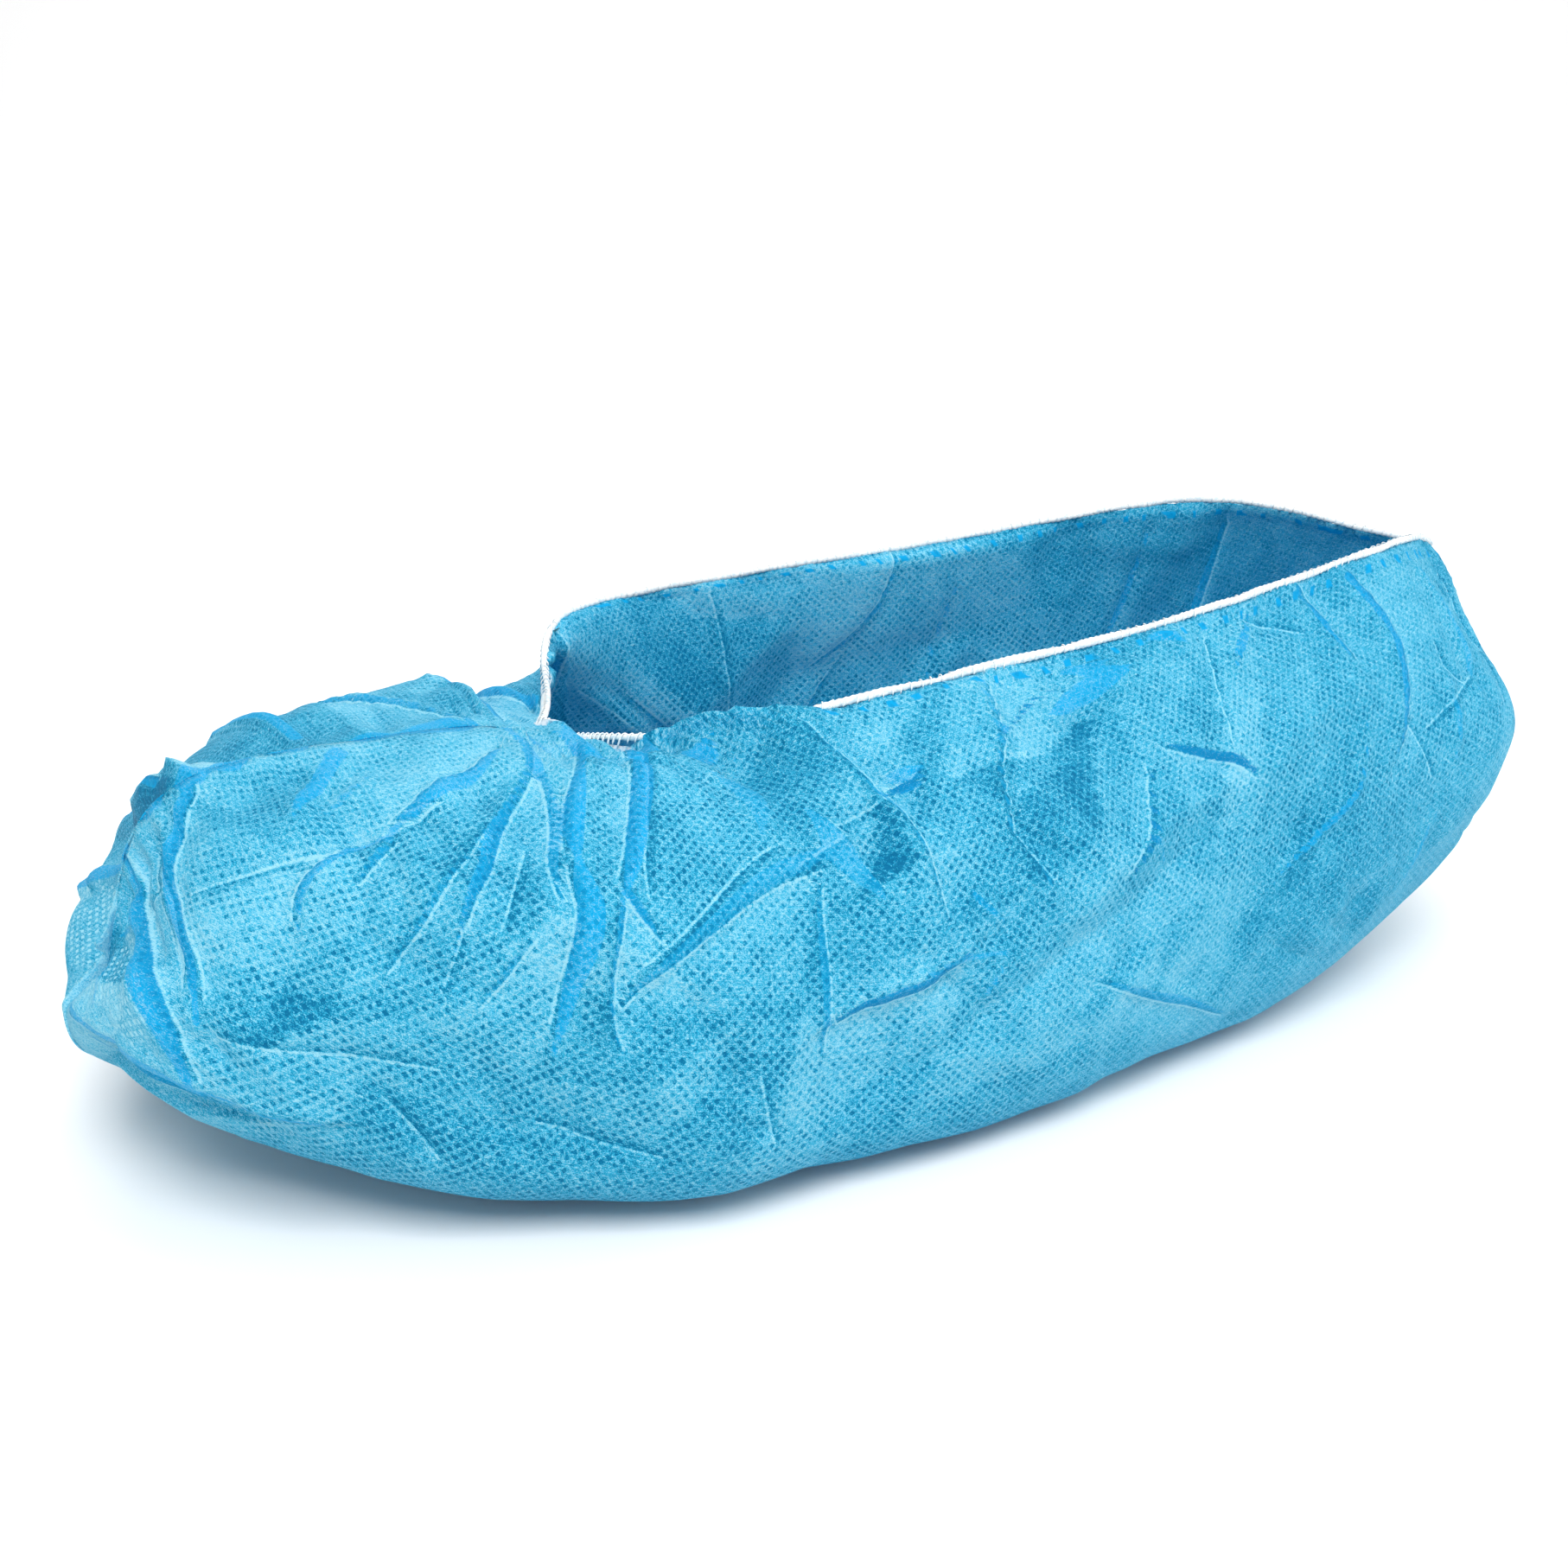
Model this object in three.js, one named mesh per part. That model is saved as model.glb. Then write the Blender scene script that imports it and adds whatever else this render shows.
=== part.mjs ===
// Disposable shoe cover in its worn shape: one sheet of light spunbonded fabric, folded under
// the sole, sewn together over the toe and down the heel, with an elastic edge round the opening.
// Millimetres, +Z up. X runs along the foot, toe at -X and heel at +X, and the outer side of the
// foot faces -Y. The origin lies under the middle of the bag, on the surface that it rests on.
import * as THREE from 'three';
import { ParametricGeometry } from 'three/addons/geometries/ParametricGeometry.js';
import { mergeGeometries, mergeVertices } from 'three/addons/utils/BufferGeometryUtils.js';

// Driving dimensions
const WALL = 1.5;                 // thickness of the sheet's wall
const PIECE_GAP = 0.35;           // clearance between neighbouring pieces
const MIDDLE_SHIFT_X = -7.54;     // brings the middle of the bag's length to the origin
const MIDDLE_SHIFT_Y = 2.67;      // brings the middle of the bag's width to the origin
const OPENING_FRONT = 6;          // station where the toe seam ends and the opening starts
const STERN = 14;                 // last station, the heel seam
const NEAR = -1;                  // side of the sheet at -Y
const FAR = 1;                    // side of the sheet at +Y
const ELASTIC_HEIGHT = 2.4;       // depth of the white edge
const ELASTIC_THICKNESS = 2.0;    // through the white edge
const ELASTIC_FRONT_LIFT = 0.9;   // rise of the white edge over the gathers at its front
const SEAM_THICKNESS = 1.4;       // the two sewn layers of a seam
const TOE_SEAM_HEIGHT = 3.0;      // how far the toe seam stands out at the tip
const RIDGE_SEAM_HEIGHT = 1.6;    // how far it stands out on top of the foot
const HEEL_SEAM_HEIGHT = 1.6;     // how far the heel seam stands out
const STEPS_ALONG = 70;           // facets along the foot
const STEPS_DOWN = 15;            // facets from the edge to the middle of the sole

// Cross-sections from toe to heel. Each half of a section hangs from its top edge over a
// shoulder and a bulge to the flat sole. Columns: x of the sole, of the bulge and of the top
// edge, y of the section's middle, half width and height of the sole, of the bulge and of the
// shoulder, y of the near and of the far top edge, height of the top edge.
const SECTIONS = [
  [-144, -160, -156,  4,  0, 16,  0, 23,  0, 34,   4,  4,  50],
  [-140, -159, -152,  6, 20, 14, 23, 26, 22, 40,   4,  4,  58],
  [-133, -149, -144,  7, 33, 11, 38, 28, 38, 52,   2,  2,  64],
  [-120, -133, -133,  6, 43,  8, 51, 28, 49, 63,   0,  0,  71],
  [ -99, -107, -113,  3, 53,  3, 63, 28, 55, 76,  -3, -3,  74],
  [ -71,  -77,  -90, -1, 59,  0, 69, 28, 56, 83,  -5, -5,  75],
  [ -42,  -49,  -73, -3, 60, -1, 70, 30, 52, 83,  -3, -3,  74],
  [ -10,  -13,  -43, -5, 59, -1, 67, 32, 56, 74, -34, 51,  80],
  [  30,   29,    3, -4, 55, -1, 64, 36, 55, 73, -37, 56,  85],
  [  68,   70,   53, -3, 50, -1, 60, 38, 54, 72, -35, 52,  90],
  [  97,  108,   94, -2, 43,  0, 56, 44, 51, 73, -32, 45,  96],
  [ 119,  141,  126, -2, 35,  3, 52, 48, 48, 72, -27, 36, 100],
  [ 134,  166,  145, -4, 28,  7, 42, 53, 41, 70, -19, 25,  99],
  [ 142,  178,  157, -3, 16,  9, 24, 55, 23, 70, -13, 13,  96],
  [ 145,  181,  165, -2,  0, 10,  0, 56,  0, 73,  -4, -4,  94],
];

// Main folds and creases. Columns: side, station and drop of the start, middle and end of the
// fold's line, how far it stands out (or lies in, if negative) and its width. The drop is 0 at
// the top edge and 1 at the middle of the sole.
const FOLDS = [
  // pleats that fan out below the front of the opening
  [NEAR, 6.2, 0.05, 4.9, 0.19, 4.5, 0.34, -4.0, 6],
  [NEAR, 5.7, 0.05, 4.6, 0.17, 4.3, 0.34,  2.8, 6],
  [NEAR, 5.1, 0.05, 4.1, 0.17, 3.9, 0.22, -2.6, 5],
  [NEAR, 4.8, 0.14, 4.4, 0.28, 4.2, 0.36, -2.0, 5],
  [NEAR, 4.9, 0.04, 3.6, 0.09, 3.0, 0.16, -3.0, 6],
  [NEAR, 2.9, 0.07, 3.4, 0.08, 3.9, 0.08,  2.0, 5],
  // toe
  [NEAR, 1.2, 0.02, 1.9, 0.21, 1.6, 0.53, -3.0, 6],
  [NEAR, 2.8, 0.02, 2.1, 0.07, 2.1, 0.16, -3.0, 6],
  [NEAR, 0.3, 0.28, 2.2, 0.49, 3.0, 0.54, -2.0, 5],
  // long diagonals on the outer side of the foot
  [NEAR, 6.2, 0.18, 5.0, 0.25, 4.7, 0.30,  2.4, 6],
  [NEAR, 7.0, 0.03, 7.0, 0.10, 6.8, 0.27, -2.2, 7],
  [NEAR, 6.5, 0.15, 6.2, 0.28, 5.9, 0.42,  1.5, 6],
  [NEAR, 7.9, 0.03, 7.6, 0.12, 7.5, 0.25,  2.0, 6],
  [NEAR, 6.2, 0.33, 6.9, 0.30, 7.2, 0.28,  1.5, 5],
  [NEAR, 7.6, 0.37, 8.1, 0.48, 8.7, 0.58,  1.5, 5],
  // heel quarter
  [NEAR, 8.2, 0.13, 8.1, 0.21, 7.9, 0.27, -2.0, 6],
  [NEAR, 8.5, 0.12, 8.8, 0.14, 9.0, 0.18, -2.0, 5],
  [NEAR, 9.5, 0.02, 9.2, 0.04, 9.0, 0.10, -1.6, 5],
  [NEAR, 10.5, 0.02, 10.5, 0.08, 10.2, 0.18, 2.0, 6],
  [NEAR, 9.8, 0.17, 9.7, 0.23, 8.9, 0.34, -2.0, 6],
  [NEAR, 10.9, 0.14, 10.8, 0.19, 10.7, 0.24, -1.6, 5],
  // inner side of the foot
  [FAR, 5.7, 0.03, 5.4, 0.10, 5.0, 0.22, -4.5, 7],
  [FAR, 3.9, 0.03, 3.7, 0.10, 3.4, 0.20, -3.0, 6],
  [FAR, 2.6, 0.03, 2.5, 0.10, 2.4, 0.20, -2.5, 6],
  [FAR, 1.2, 0.02, 1.6, 0.12, 1.8, 0.30, -2.8, 6],
  [FAR, 6.8, 0.03, 6.4, 0.15, 6.0, 0.30, -3.0, 6],
  [FAR, 7.8, 0.03, 7.6, 0.15, 7.5, 0.30,  2.0, 7],
  [FAR, 8.4, 0.15, 8.0, 0.30, 7.4, 0.40,  2.0, 7],
  [FAR, 9.2, 0.03, 9.0, 0.12, 8.8, 0.25, -2.0, 6],
  [FAR, 10.6, 0.03, 10.4, 0.12, 10.1, 0.25, -2.0, 6],
];
const FOLD_SAMPLES = 10;

// Shallow gathers that the elastic draws up along the opening.
const GATHER_COUNT = 10;          // on each side
const GATHER_HEIGHT = 1.0;
const GATHER_DEPTH = 0.16;        // drop at which they have died away

// Smooth curve through the rows of a table, at a fractional row number.
function throughRows(rows, at) {
  const last = rows.length - 1;
  const row = Math.min(Math.floor(at), last - 1);
  const t = at - row;
  const from = rows[row];
  const to = rows[row + 1];
  return from.map((value, column) => {
    const before = row > 0 ? rows[row - 1][column] : 2 * value - to[column];
    const after = row < last - 1 ? rows[row + 2][column] : 2 * to[column] - value;
    const slopeIn = (to[column] - before) / 2;
    const slopeOut = (after - value) / 2;
    const square = t * t;
    const cube = square * t;
    return (2 * cube - 3 * square + 1) * value + (cube - 2 * square + t) * slopeIn
      + (3 * square - 2 * cube) * to[column] + (cube - square) * slopeOut;
  });
}

// Weights of the six control points of a clamped cubic spline, for a drop between 0 and 1.
function splineWeights(drop) {
  const knots = [0, 0, 0, 0, 1 / 3, 2 / 3, 1, 1, 1, 1];
  const at = Math.min(drop, 1 - 1e-9);
  let weights = knots.slice(0, -1).map((knot, i) => (at >= knot && at < knots[i + 1] ? 1 : 0));
  for (let degree = 1; degree <= 3; degree += 1) {
    weights = weights.slice(0, -1).map((weight, i) => {
      const rise = knots[i + degree] - knots[i];
      const fall = knots[i + degree + 1] - knots[i + 1];
      return (rise > 0 ? ((at - knots[i]) / rise) * weight : 0)
        + (fall > 0 ? ((knots[i + degree + 1] - at) / fall) * weights[i + 1] : 0);
    });
  }
  return weights;
}

// The smooth bag without folds. The inset moves the whole form inward by a wall thickness.
const SOLE_CORNER = 1.12;         // control points of the sole, in half widths of it
const SOLE_MIDDLE = 0.6;

function form(station, drop, side, inset) {
  const [xSole, xBulge, xTop, yMiddle, soleHalf, soleZ, bulgeHalf, bulgeZ,
    shoulderHalf, shoulderZ, nearY, farY, topZ] = throughRows(SECTIONS, station);
  const endward = inset * Math.cos((Math.PI * station) / STERN);
  const openHere = station > OPENING_FRONT + 1e-6;
  const narrow = (half) => Math.max(half - inset * Math.min(half / 12, 1), 0);
  const closedY = (nearY + farY) / 2;
  const openY = side === NEAR ? nearY : farY;
  const topY = openHere ? openY : closedY;
  const topShift = Math.min(Math.max(station - OPENING_FRONT, 0), 1)
    * Math.min(Math.max(STERN - station, 0), 1) * inset;
  const xs = [xTop, (xTop + xBulge) / 2, xBulge, xSole, xSole, xSole];
  const ys = [topY - side * topShift, yMiddle + side * narrow(shoulderHalf),
    yMiddle + side * narrow(bulgeHalf), yMiddle + side * SOLE_CORNER * narrow(soleHalf),
    yMiddle + side * SOLE_MIDDLE * narrow(soleHalf), yMiddle];
  const topDrop = openHere ? 0 : inset;
  const zs = [topZ - topDrop, shoulderZ - topDrop, bulgeZ, soleZ + inset, soleZ + inset,
    soleZ + inset];
  const weights = splineWeights(drop);
  const blend = (values) => values.reduce((sum, value, i) => sum + value * weights[i], 0);
  return new THREE.Vector3(blend(xs) + endward + MIDDLE_SHIFT_X, blend(ys) + MIDDLE_SHIFT_Y,
    blend(zs));
}

// Direction out of the sheet.
function outward(station, drop, side) {
  const step = 0.01;
  const alongStart = form(Math.max(station - step, 0), drop, side, 0);
  const alongEnd = form(Math.min(station + step, STERN), drop, side, 0);
  const downStart = form(station, Math.max(drop - step, 0), side, 0);
  const downEnd = form(station, Math.min(drop + step, 1), side, 0);
  const along = alongEnd.sub(alongStart);
  const down = downEnd.sub(downStart);
  return new THREE.Vector3().crossVectors(along, down).multiplyScalar(side).normalize();
}

// Each fold's line on the bag, as points in space.
const foldLines = FOLDS.map(([side, u0, s0, u1, s1, u2, s2, height, width]) => {
  const route = new THREE.SplineCurve([
    new THREE.Vector2(u0, s0), new THREE.Vector2(u1, s1), new THREE.Vector2(u2, s2)]);
  const points = route.getPoints(FOLD_SAMPLES).map((p) => form(p.x, p.y, side, 0));
  return { side, points, height, width };
});

const fadeIn = (value, length) => THREE.MathUtils.smoothstep(value, 0, length);

// How far the folds lift the sheet at one place. Seams, edge and sole stay unfolded.
function foldLift(station, drop, side) {
  const here = form(station, drop, side, 0);
  const calm = fadeIn(drop, 0.05) * fadeIn(1 - drop, 0.35) * fadeIn(station, 0.8)
    * fadeIn(STERN - station, 0.8);
  let lift = 0;
  for (const fold of foldLines.filter((line) => line.side === side)) {
    let nearest = Infinity;
    let fade = 0;
    for (let i = 0; i < fold.points.length - 1; i += 1) {
      const piece = new THREE.Line3(fold.points[i], fold.points[i + 1]);
      const along = piece.closestPointToPointParameter(here, true);
      const distance = piece.at(along, new THREE.Vector3()).distanceTo(here);
      if (distance < nearest) {
        nearest = distance;
        fade = Math.sin(Math.PI * Math.min(Math.max((i + along) / FOLD_SAMPLES, 0.08), 0.92));
      }
    }
    lift += fold.height * fade * Math.exp(-((nearest / fold.width) ** 2));
  }
  const alongOpening = (station - OPENING_FRONT) / (STERN - OPENING_FRONT);
  if (alongOpening > 0) {
    const wave = Math.sin(2 * Math.PI * GATHER_COUNT * alongOpening);
    lift += GATHER_HEIGHT * wave * (1 - fadeIn(drop, GATHER_DEPTH));
  }
  return lift * calm;
}

// The sheet's outer face (inset 0) or inner face (inset WALL), flattened where it rests.
function sheetPoint(station, drop, side, inset) {
  const point = form(station, drop, side, inset);
  point.addScaledVector(outward(station, drop, side), foldLift(station, drop, side));
  point.z = Math.max(point.z, inset);
  return point;
}

// One patch of a closed skin. Turning it swaps the face that shows.
function patch(pointAt, stepsFirst, stepsSecond, turned) {
  if (turned) {
    const place = (a, b, target) => target.copy(pointAt(b, a));
    return new ParametricGeometry(place, stepsSecond, stepsFirst);
  }
  const place = (a, b, target) => target.copy(pointAt(a, b));
  return new ParametricGeometry(place, stepsFirst, stepsSecond);
}

// Patches joined into one closed body whose shared edges share their vertices.
function weld(patches) {
  const joined = mergeGeometries(patches);
  joined.deleteAttribute('normal');
  joined.deleteAttribute('uv');
  const body = mergeVertices(joined, 1e-3);
  body.computeVertexNormals();
  return body;
}

// The far half is run from heel to toe, so that its facets mirror those of the near half.
function coverSheet() {
  const patches = [];
  const openLength = STERN - OPENING_FRONT;
  const openSteps = Math.round((STEPS_ALONG * openLength) / STERN);
  for (const side of [NEAR, FAR]) {
    const along = (a) => (side === NEAR ? a : 1 - a);
    const outer = (a, b) => sheetPoint(along(a) * STERN, b, side, 0);
    const inner = (a, b) => sheetPoint(along(a) * STERN, b, side, WALL);
    const rim = (a, b) => {
      const station = OPENING_FRONT + along(a) * openLength;
      return sheetPoint(station, 0, side, 0).lerp(sheetPoint(station, 0, side, WALL), b);
    };
    patches.push(patch(outer, STEPS_ALONG, STEPS_DOWN, true));
    patches.push(patch(inner, STEPS_ALONG, STEPS_DOWN, false));
    patches.push(patch(rim, openSteps, 1, false));
  }
  return weld(patches);
}

// A solid swept through rings of points, either closed on itself or with flat ends.
function swept(rings, closed) {
  const count = rings[0].length;
  const positions = rings.flat().flatMap((point) => point.toArray());
  const index = [];
  const last = closed ? rings.length : rings.length - 1;
  for (let ring = 0; ring < last; ring += 1) {
    const next = (ring + 1) % rings.length;
    for (let k = 0; k < count; k += 1) {
      const l = (k + 1) % count;
      const a = ring * count + k;
      const b = ring * count + l;
      const c = next * count + l;
      const d = next * count + k;
      index.push(a, b, d, b, c, d);
    }
  }
  if (!closed) {
    const end = (rings.length - 1) * count;
    for (let k = 1; k < count - 1; k += 1) {
      index.push(0, k + 1, k);
      index.push(end, end + k, end + k + 1);
    }
  }
  const body = new THREE.BufferGeometry();
  body.setAttribute('position', new THREE.Float32BufferAttribute(positions, 3));
  body.setIndex(index);
  body.computeVertexNormals();
  return body;
}

// White elastic sewn over the edge of the opening, a loop that lies on the sheet's rim.
function elasticEdge() {
  const stepsPerSide = 44;
  const sectionSides = 6;
  const rimMiddle = (station, side) => sheetPoint(station, 0, side, 0)
    .lerp(sheetPoint(station, 0, side, WALL), 0.5);
  const edgeMiddle = (station, side) => {
    const point = rimMiddle(station, side);
    const fromFront = fadeIn(station - OPENING_FRONT, 0.7);
    point.z += PIECE_GAP + ELASTIC_FRONT_LIFT * (1 - fromFront) + ELASTIC_HEIGHT / 2;
    return point;
  };
  const path = [];
  for (let i = 0; i < stepsPerSide; i += 1) {
    const station = OPENING_FRONT + (i / stepsPerSide) * (STERN - OPENING_FRONT);
    path.push(edgeMiddle(station, NEAR));
  }
  for (let i = 0; i < stepsPerSide; i += 1) {
    const station = STERN - (i / stepsPerSide) * (STERN - OPENING_FRONT);
    path.push(edgeMiddle(station, FAR));
  }
  const rings = path.map((point, i) => {
    const before = path[(i + path.length - 1) % path.length];
    const after = path[(i + 1) % path.length];
    const sideways = new THREE.Vector3(before.y - after.y, after.x - before.x, 0).normalize();
    return Array.from({ length: sectionSides }, (_, k) => {
      const angle = ((k + 0.5) * 2 * Math.PI) / sectionSides;
      return point.clone()
        .addScaledVector(sideways, (Math.cos(angle) * ELASTIC_THICKNESS) / 2)
        .add(new THREE.Vector3(0, 0, (Math.sin(angle) * ELASTIC_HEIGHT) / 2));
    });
  });
  return swept(rings, true);
}

// Seam allowance that stands out of the sheet along a line on it, tapering to both ends.
function seamFin(linePoints, heights) {
  const half = SEAM_THICKNESS / 2;
  const rings = linePoints.map((point, i) => {
    const before = linePoints[Math.max(i - 1, 0)];
    const after = linePoints[Math.min(i + 1, linePoints.length - 1)];
    const along = after.clone().sub(before);
    const out = new THREE.Vector3(0, 1, 0).cross(along).normalize();
    const foot = point.clone().addScaledVector(out, PIECE_GAP);
    const tip = point.clone().addScaledVector(out, PIECE_GAP + heights[i]);
    const sideways = new THREE.Vector3(0, half, 0);
    return [foot.clone().sub(sideways), tip.clone().sub(sideways),
      tip.clone().add(sideways), foot.clone().add(sideways)];
  });
  return swept(rings, false);
}

// Runs from the front of the opening over the toe and down to the sole.
function toeSeam() {
  const ridgeSteps = 26;
  const bowSteps = 12;
  const startStation = 5.75;
  const endDrop = 0.5;
  const points = [];
  const heights = [];
  for (let i = 0; i < ridgeSteps; i += 1) {
    const station = startStation * (1 - i / ridgeSteps);
    points.push(sheetPoint(station, 0, NEAR, 0));
    heights.push(THREE.MathUtils.lerp(TOE_SEAM_HEIGHT, RIDGE_SEAM_HEIGHT,
      Math.min(station / 2, 1)));
  }
  for (let i = 0; i <= bowSteps; i += 1) {
    const drop = (endDrop * i) / bowSteps;
    points.push(sheetPoint(0, drop, NEAR, 0));
    heights.push(TOE_SEAM_HEIGHT * (1 - 0.7 * (i / bowSteps) ** 2));
  }
  return seamFin(points, heights);
}

// Runs up the heel to the elastic edge.
function heelSeam() {
  const steps = 16;
  const startDrop = 0.05;
  const endDrop = 0.5;
  const points = [];
  const heights = [];
  for (let i = steps; i >= 0; i -= 1) {
    points.push(sheetPoint(STERN, startDrop + ((endDrop - startDrop) * i) / steps, NEAR, 0));
    heights.push(HEEL_SEAM_HEIGHT * (1 - 0.5 * (i / steps)));
  }
  return seamFin(points, heights);
}

const fabric = { roughness: 0.85, metalness: 0, side: THREE.DoubleSide };
const pieces = [
  ['cover_sheet', coverSheet(), { ...fabric, color: 0x5cc3ea }],
  ['elastic_edge', elasticEdge(), { ...fabric, color: 0xf3f3ef }],
  ['toe_seam', toeSeam(), { ...fabric, color: 0x7fcff0 }],
  ['heel_seam', heelSeam(), { ...fabric, color: 0x7fcff0 }],
];

const shoeCover = new THREE.Group();
for (const [name, geometry, finish] of pieces) {
  const mesh = new THREE.Mesh(geometry, new THREE.MeshStandardMaterial(finish));
  mesh.name = name;
  shoeCover.add(mesh);
}

export default shoeCover;
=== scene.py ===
import math
import bpy
import bmesh
import numpy as np
from mathutils import Matrix, Vector
from mathutils.geometry import delaunay_2d_cdt


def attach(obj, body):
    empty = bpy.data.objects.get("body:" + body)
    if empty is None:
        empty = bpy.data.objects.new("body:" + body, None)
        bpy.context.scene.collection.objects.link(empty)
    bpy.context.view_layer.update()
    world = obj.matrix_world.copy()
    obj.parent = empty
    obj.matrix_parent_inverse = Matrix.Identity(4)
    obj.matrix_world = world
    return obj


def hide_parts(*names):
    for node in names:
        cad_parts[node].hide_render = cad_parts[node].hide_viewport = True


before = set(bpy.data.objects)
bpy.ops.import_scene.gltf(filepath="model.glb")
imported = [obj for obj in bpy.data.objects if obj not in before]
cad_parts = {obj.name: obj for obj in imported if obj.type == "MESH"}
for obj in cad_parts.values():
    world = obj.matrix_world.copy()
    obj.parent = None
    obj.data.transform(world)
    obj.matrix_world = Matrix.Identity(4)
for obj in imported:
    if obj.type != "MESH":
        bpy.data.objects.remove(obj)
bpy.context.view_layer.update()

# The bag is one sheet of light-blue spunbonded fabric, embossed with small points. It is folded
# under the sole, sewn to itself over the toe and down the heel, and hangs as a boat-shaped
# hollow whose loose cloth is drawn into pleats below the front of its opening.
MM = 0.001
MIDDLE_SHIFT_X = -7.54
MIDDLE_SHIFT_Y = 2.67
OPENING_FRONT = 6
STERN = 14
NEAR, FAR = -1, 1
# how far the near edge sags behind its front, and how far the toe has sunk back
FRONT_SAG = 3.2
TOE_SLUMP = 6.5
# cloth in a whole drop at the opening, the toe seam and the sides, and in a station
EDGE_DROP, SEAM_DROP, SIDE_DROP = 145, 160, 165
STATION_LENGTH = 25.0

# Sections from toe to heel, in millimetres. Columns: x of the sole, of the bulge and of the top
# edge, y of the middle, half width and height of the sole, of the bulge and of the shoulder,
# y of the near and of the far top edge, height of the top edge.
SECTIONS = np.array([
    [-144, -160, -156,  4,  0, 16,  0, 23,  0, 34,   4,  4,  50],
    [-140, -159, -152,  6, 20, 14, 23, 26, 22, 40,   4,  4,  58],
    [-133, -149, -144,  7, 33, 11, 38, 28, 38, 52,   2,  2,  64],
    [-120, -133, -133,  6, 43,  8, 51, 28, 49, 63,   0,  0,  71],
    [ -99, -107, -113,  3, 53,  3, 63, 28, 55, 76,  -3, -3,  74],
    [ -71,  -77,  -90, -1, 59,  0, 69, 28, 56, 83,  -5, -5,  75],
    [ -42,  -49,  -73, -3, 60, -1, 70, 30, 52, 83,  -3, -3,  74],
    [ -10,  -13,  -43, -5, 59, -1, 67, 32, 56, 74, -34, 51,  80],
    [  30,   29,    3, -4, 55, -1, 64, 36, 55, 73, -37, 56,  85],
    [  68,   70,   53, -3, 50, -1, 60, 38, 54, 72, -35, 52,  90],
    [  97,  108,   94, -2, 43,  0, 56, 44, 51, 73, -32, 45,  96],
    [ 119,  141,  126, -2, 35,  3, 52, 48, 48, 72, -27, 36, 100],
    [ 134,  166,  145, -4, 28,  7, 42, 53, 41, 70, -19, 25,  99],
    [ 142,  178,  157, -3, 16,  9, 24, 55, 23, 70, -13, 13,  96],
    [ 145,  181,  165, -2,  0, 10,  0, 56,  0, 73,  -4, -4,  94],
], float)


def through_sections(station):
    """The sections' columns at fractional stations, on a smooth curve through the rows."""
    rows = np.vstack([2 * SECTIONS[0] - SECTIONS[1], SECTIONS, 2 * SECTIONS[-1] - SECTIONS[-2]])
    row = np.minimum(station.astype(int), STERN - 1)
    t = (station - row)[..., None]
    before, start, end, after = (rows[row + k] for k in range(4))
    slope_in = (end - before) / 2
    slope_out = (after - start) / 2
    return ((2 * t**3 - 3 * t**2 + 1) * start + (t**3 - 2 * t**2 + t) * slope_in
            + (3 * t**2 - 2 * t**3) * end + (t**3 - t**2) * slope_out)


def spline_weights(drop):
    """Weights of a clamped cubic spline's six control points, for drops from 0 to 1."""
    knots = np.array([0, 0, 0, 0, 1 / 3, 2 / 3, 1, 1, 1, 1])
    at = np.minimum(drop, 1 - 1e-9)
    weights = [((at >= a) & (at < b)).astype(float) for a, b in zip(knots[:-1], knots[1:])]
    for degree in (1, 2, 3):
        blended = []
        for i in range(len(weights) - 1):
            rise = knots[i + degree] - knots[i]
            fall = knots[i + degree + 1] - knots[i + 1]
            part = (at - knots[i]) / rise * weights[i] if rise > 0 else 0 * at
            if fall > 0:
                part = part + (knots[i + degree + 1] - at) / fall * weights[i + 1]
            blended.append(part)
        weights = blended
    return np.stack(weights, -1)


def run_lengths(line):
    """Length along a line at each of its points."""
    return np.concatenate([[0], np.cumsum(np.linalg.norm(np.diff(line, axis=0), axis=1))])


def grid_place(vert, along, across):
    """Row and column of a vertex of a unit grid."""
    return round((vert.co.x + 0.5) * along), round((vert.co.y + 0.5) * across)


def finished(name, mesh, cap_sides=0):
    """Makes a smooth object of a built mesh and puts it in the scene. Open ends of up to
    cap_sides edges are closed with flat caps."""
    for face in mesh.faces:
        face.smooth = True
    if cap_sides:
        rims = [edge for edge in mesh.edges if edge.is_boundary]
        bmesh.ops.holes_fill(mesh, edges=rims, sides=cap_sides)
        bmesh.ops.recalc_face_normals(mesh, faces=mesh.faces)
    data = bpy.data.meshes.new(name)
    mesh.to_mesh(data)
    mesh.free()
    piece = bpy.data.objects.new(name, data)
    bpy.context.collection.objects.link(piece)
    return piece


def ease(value, start, end):
    """Smooth step from 0 at start to 1 at end."""
    t = np.clip((value - start) / (end - start), 0, 1)
    return t * t * (3 - 2 * t)


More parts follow.
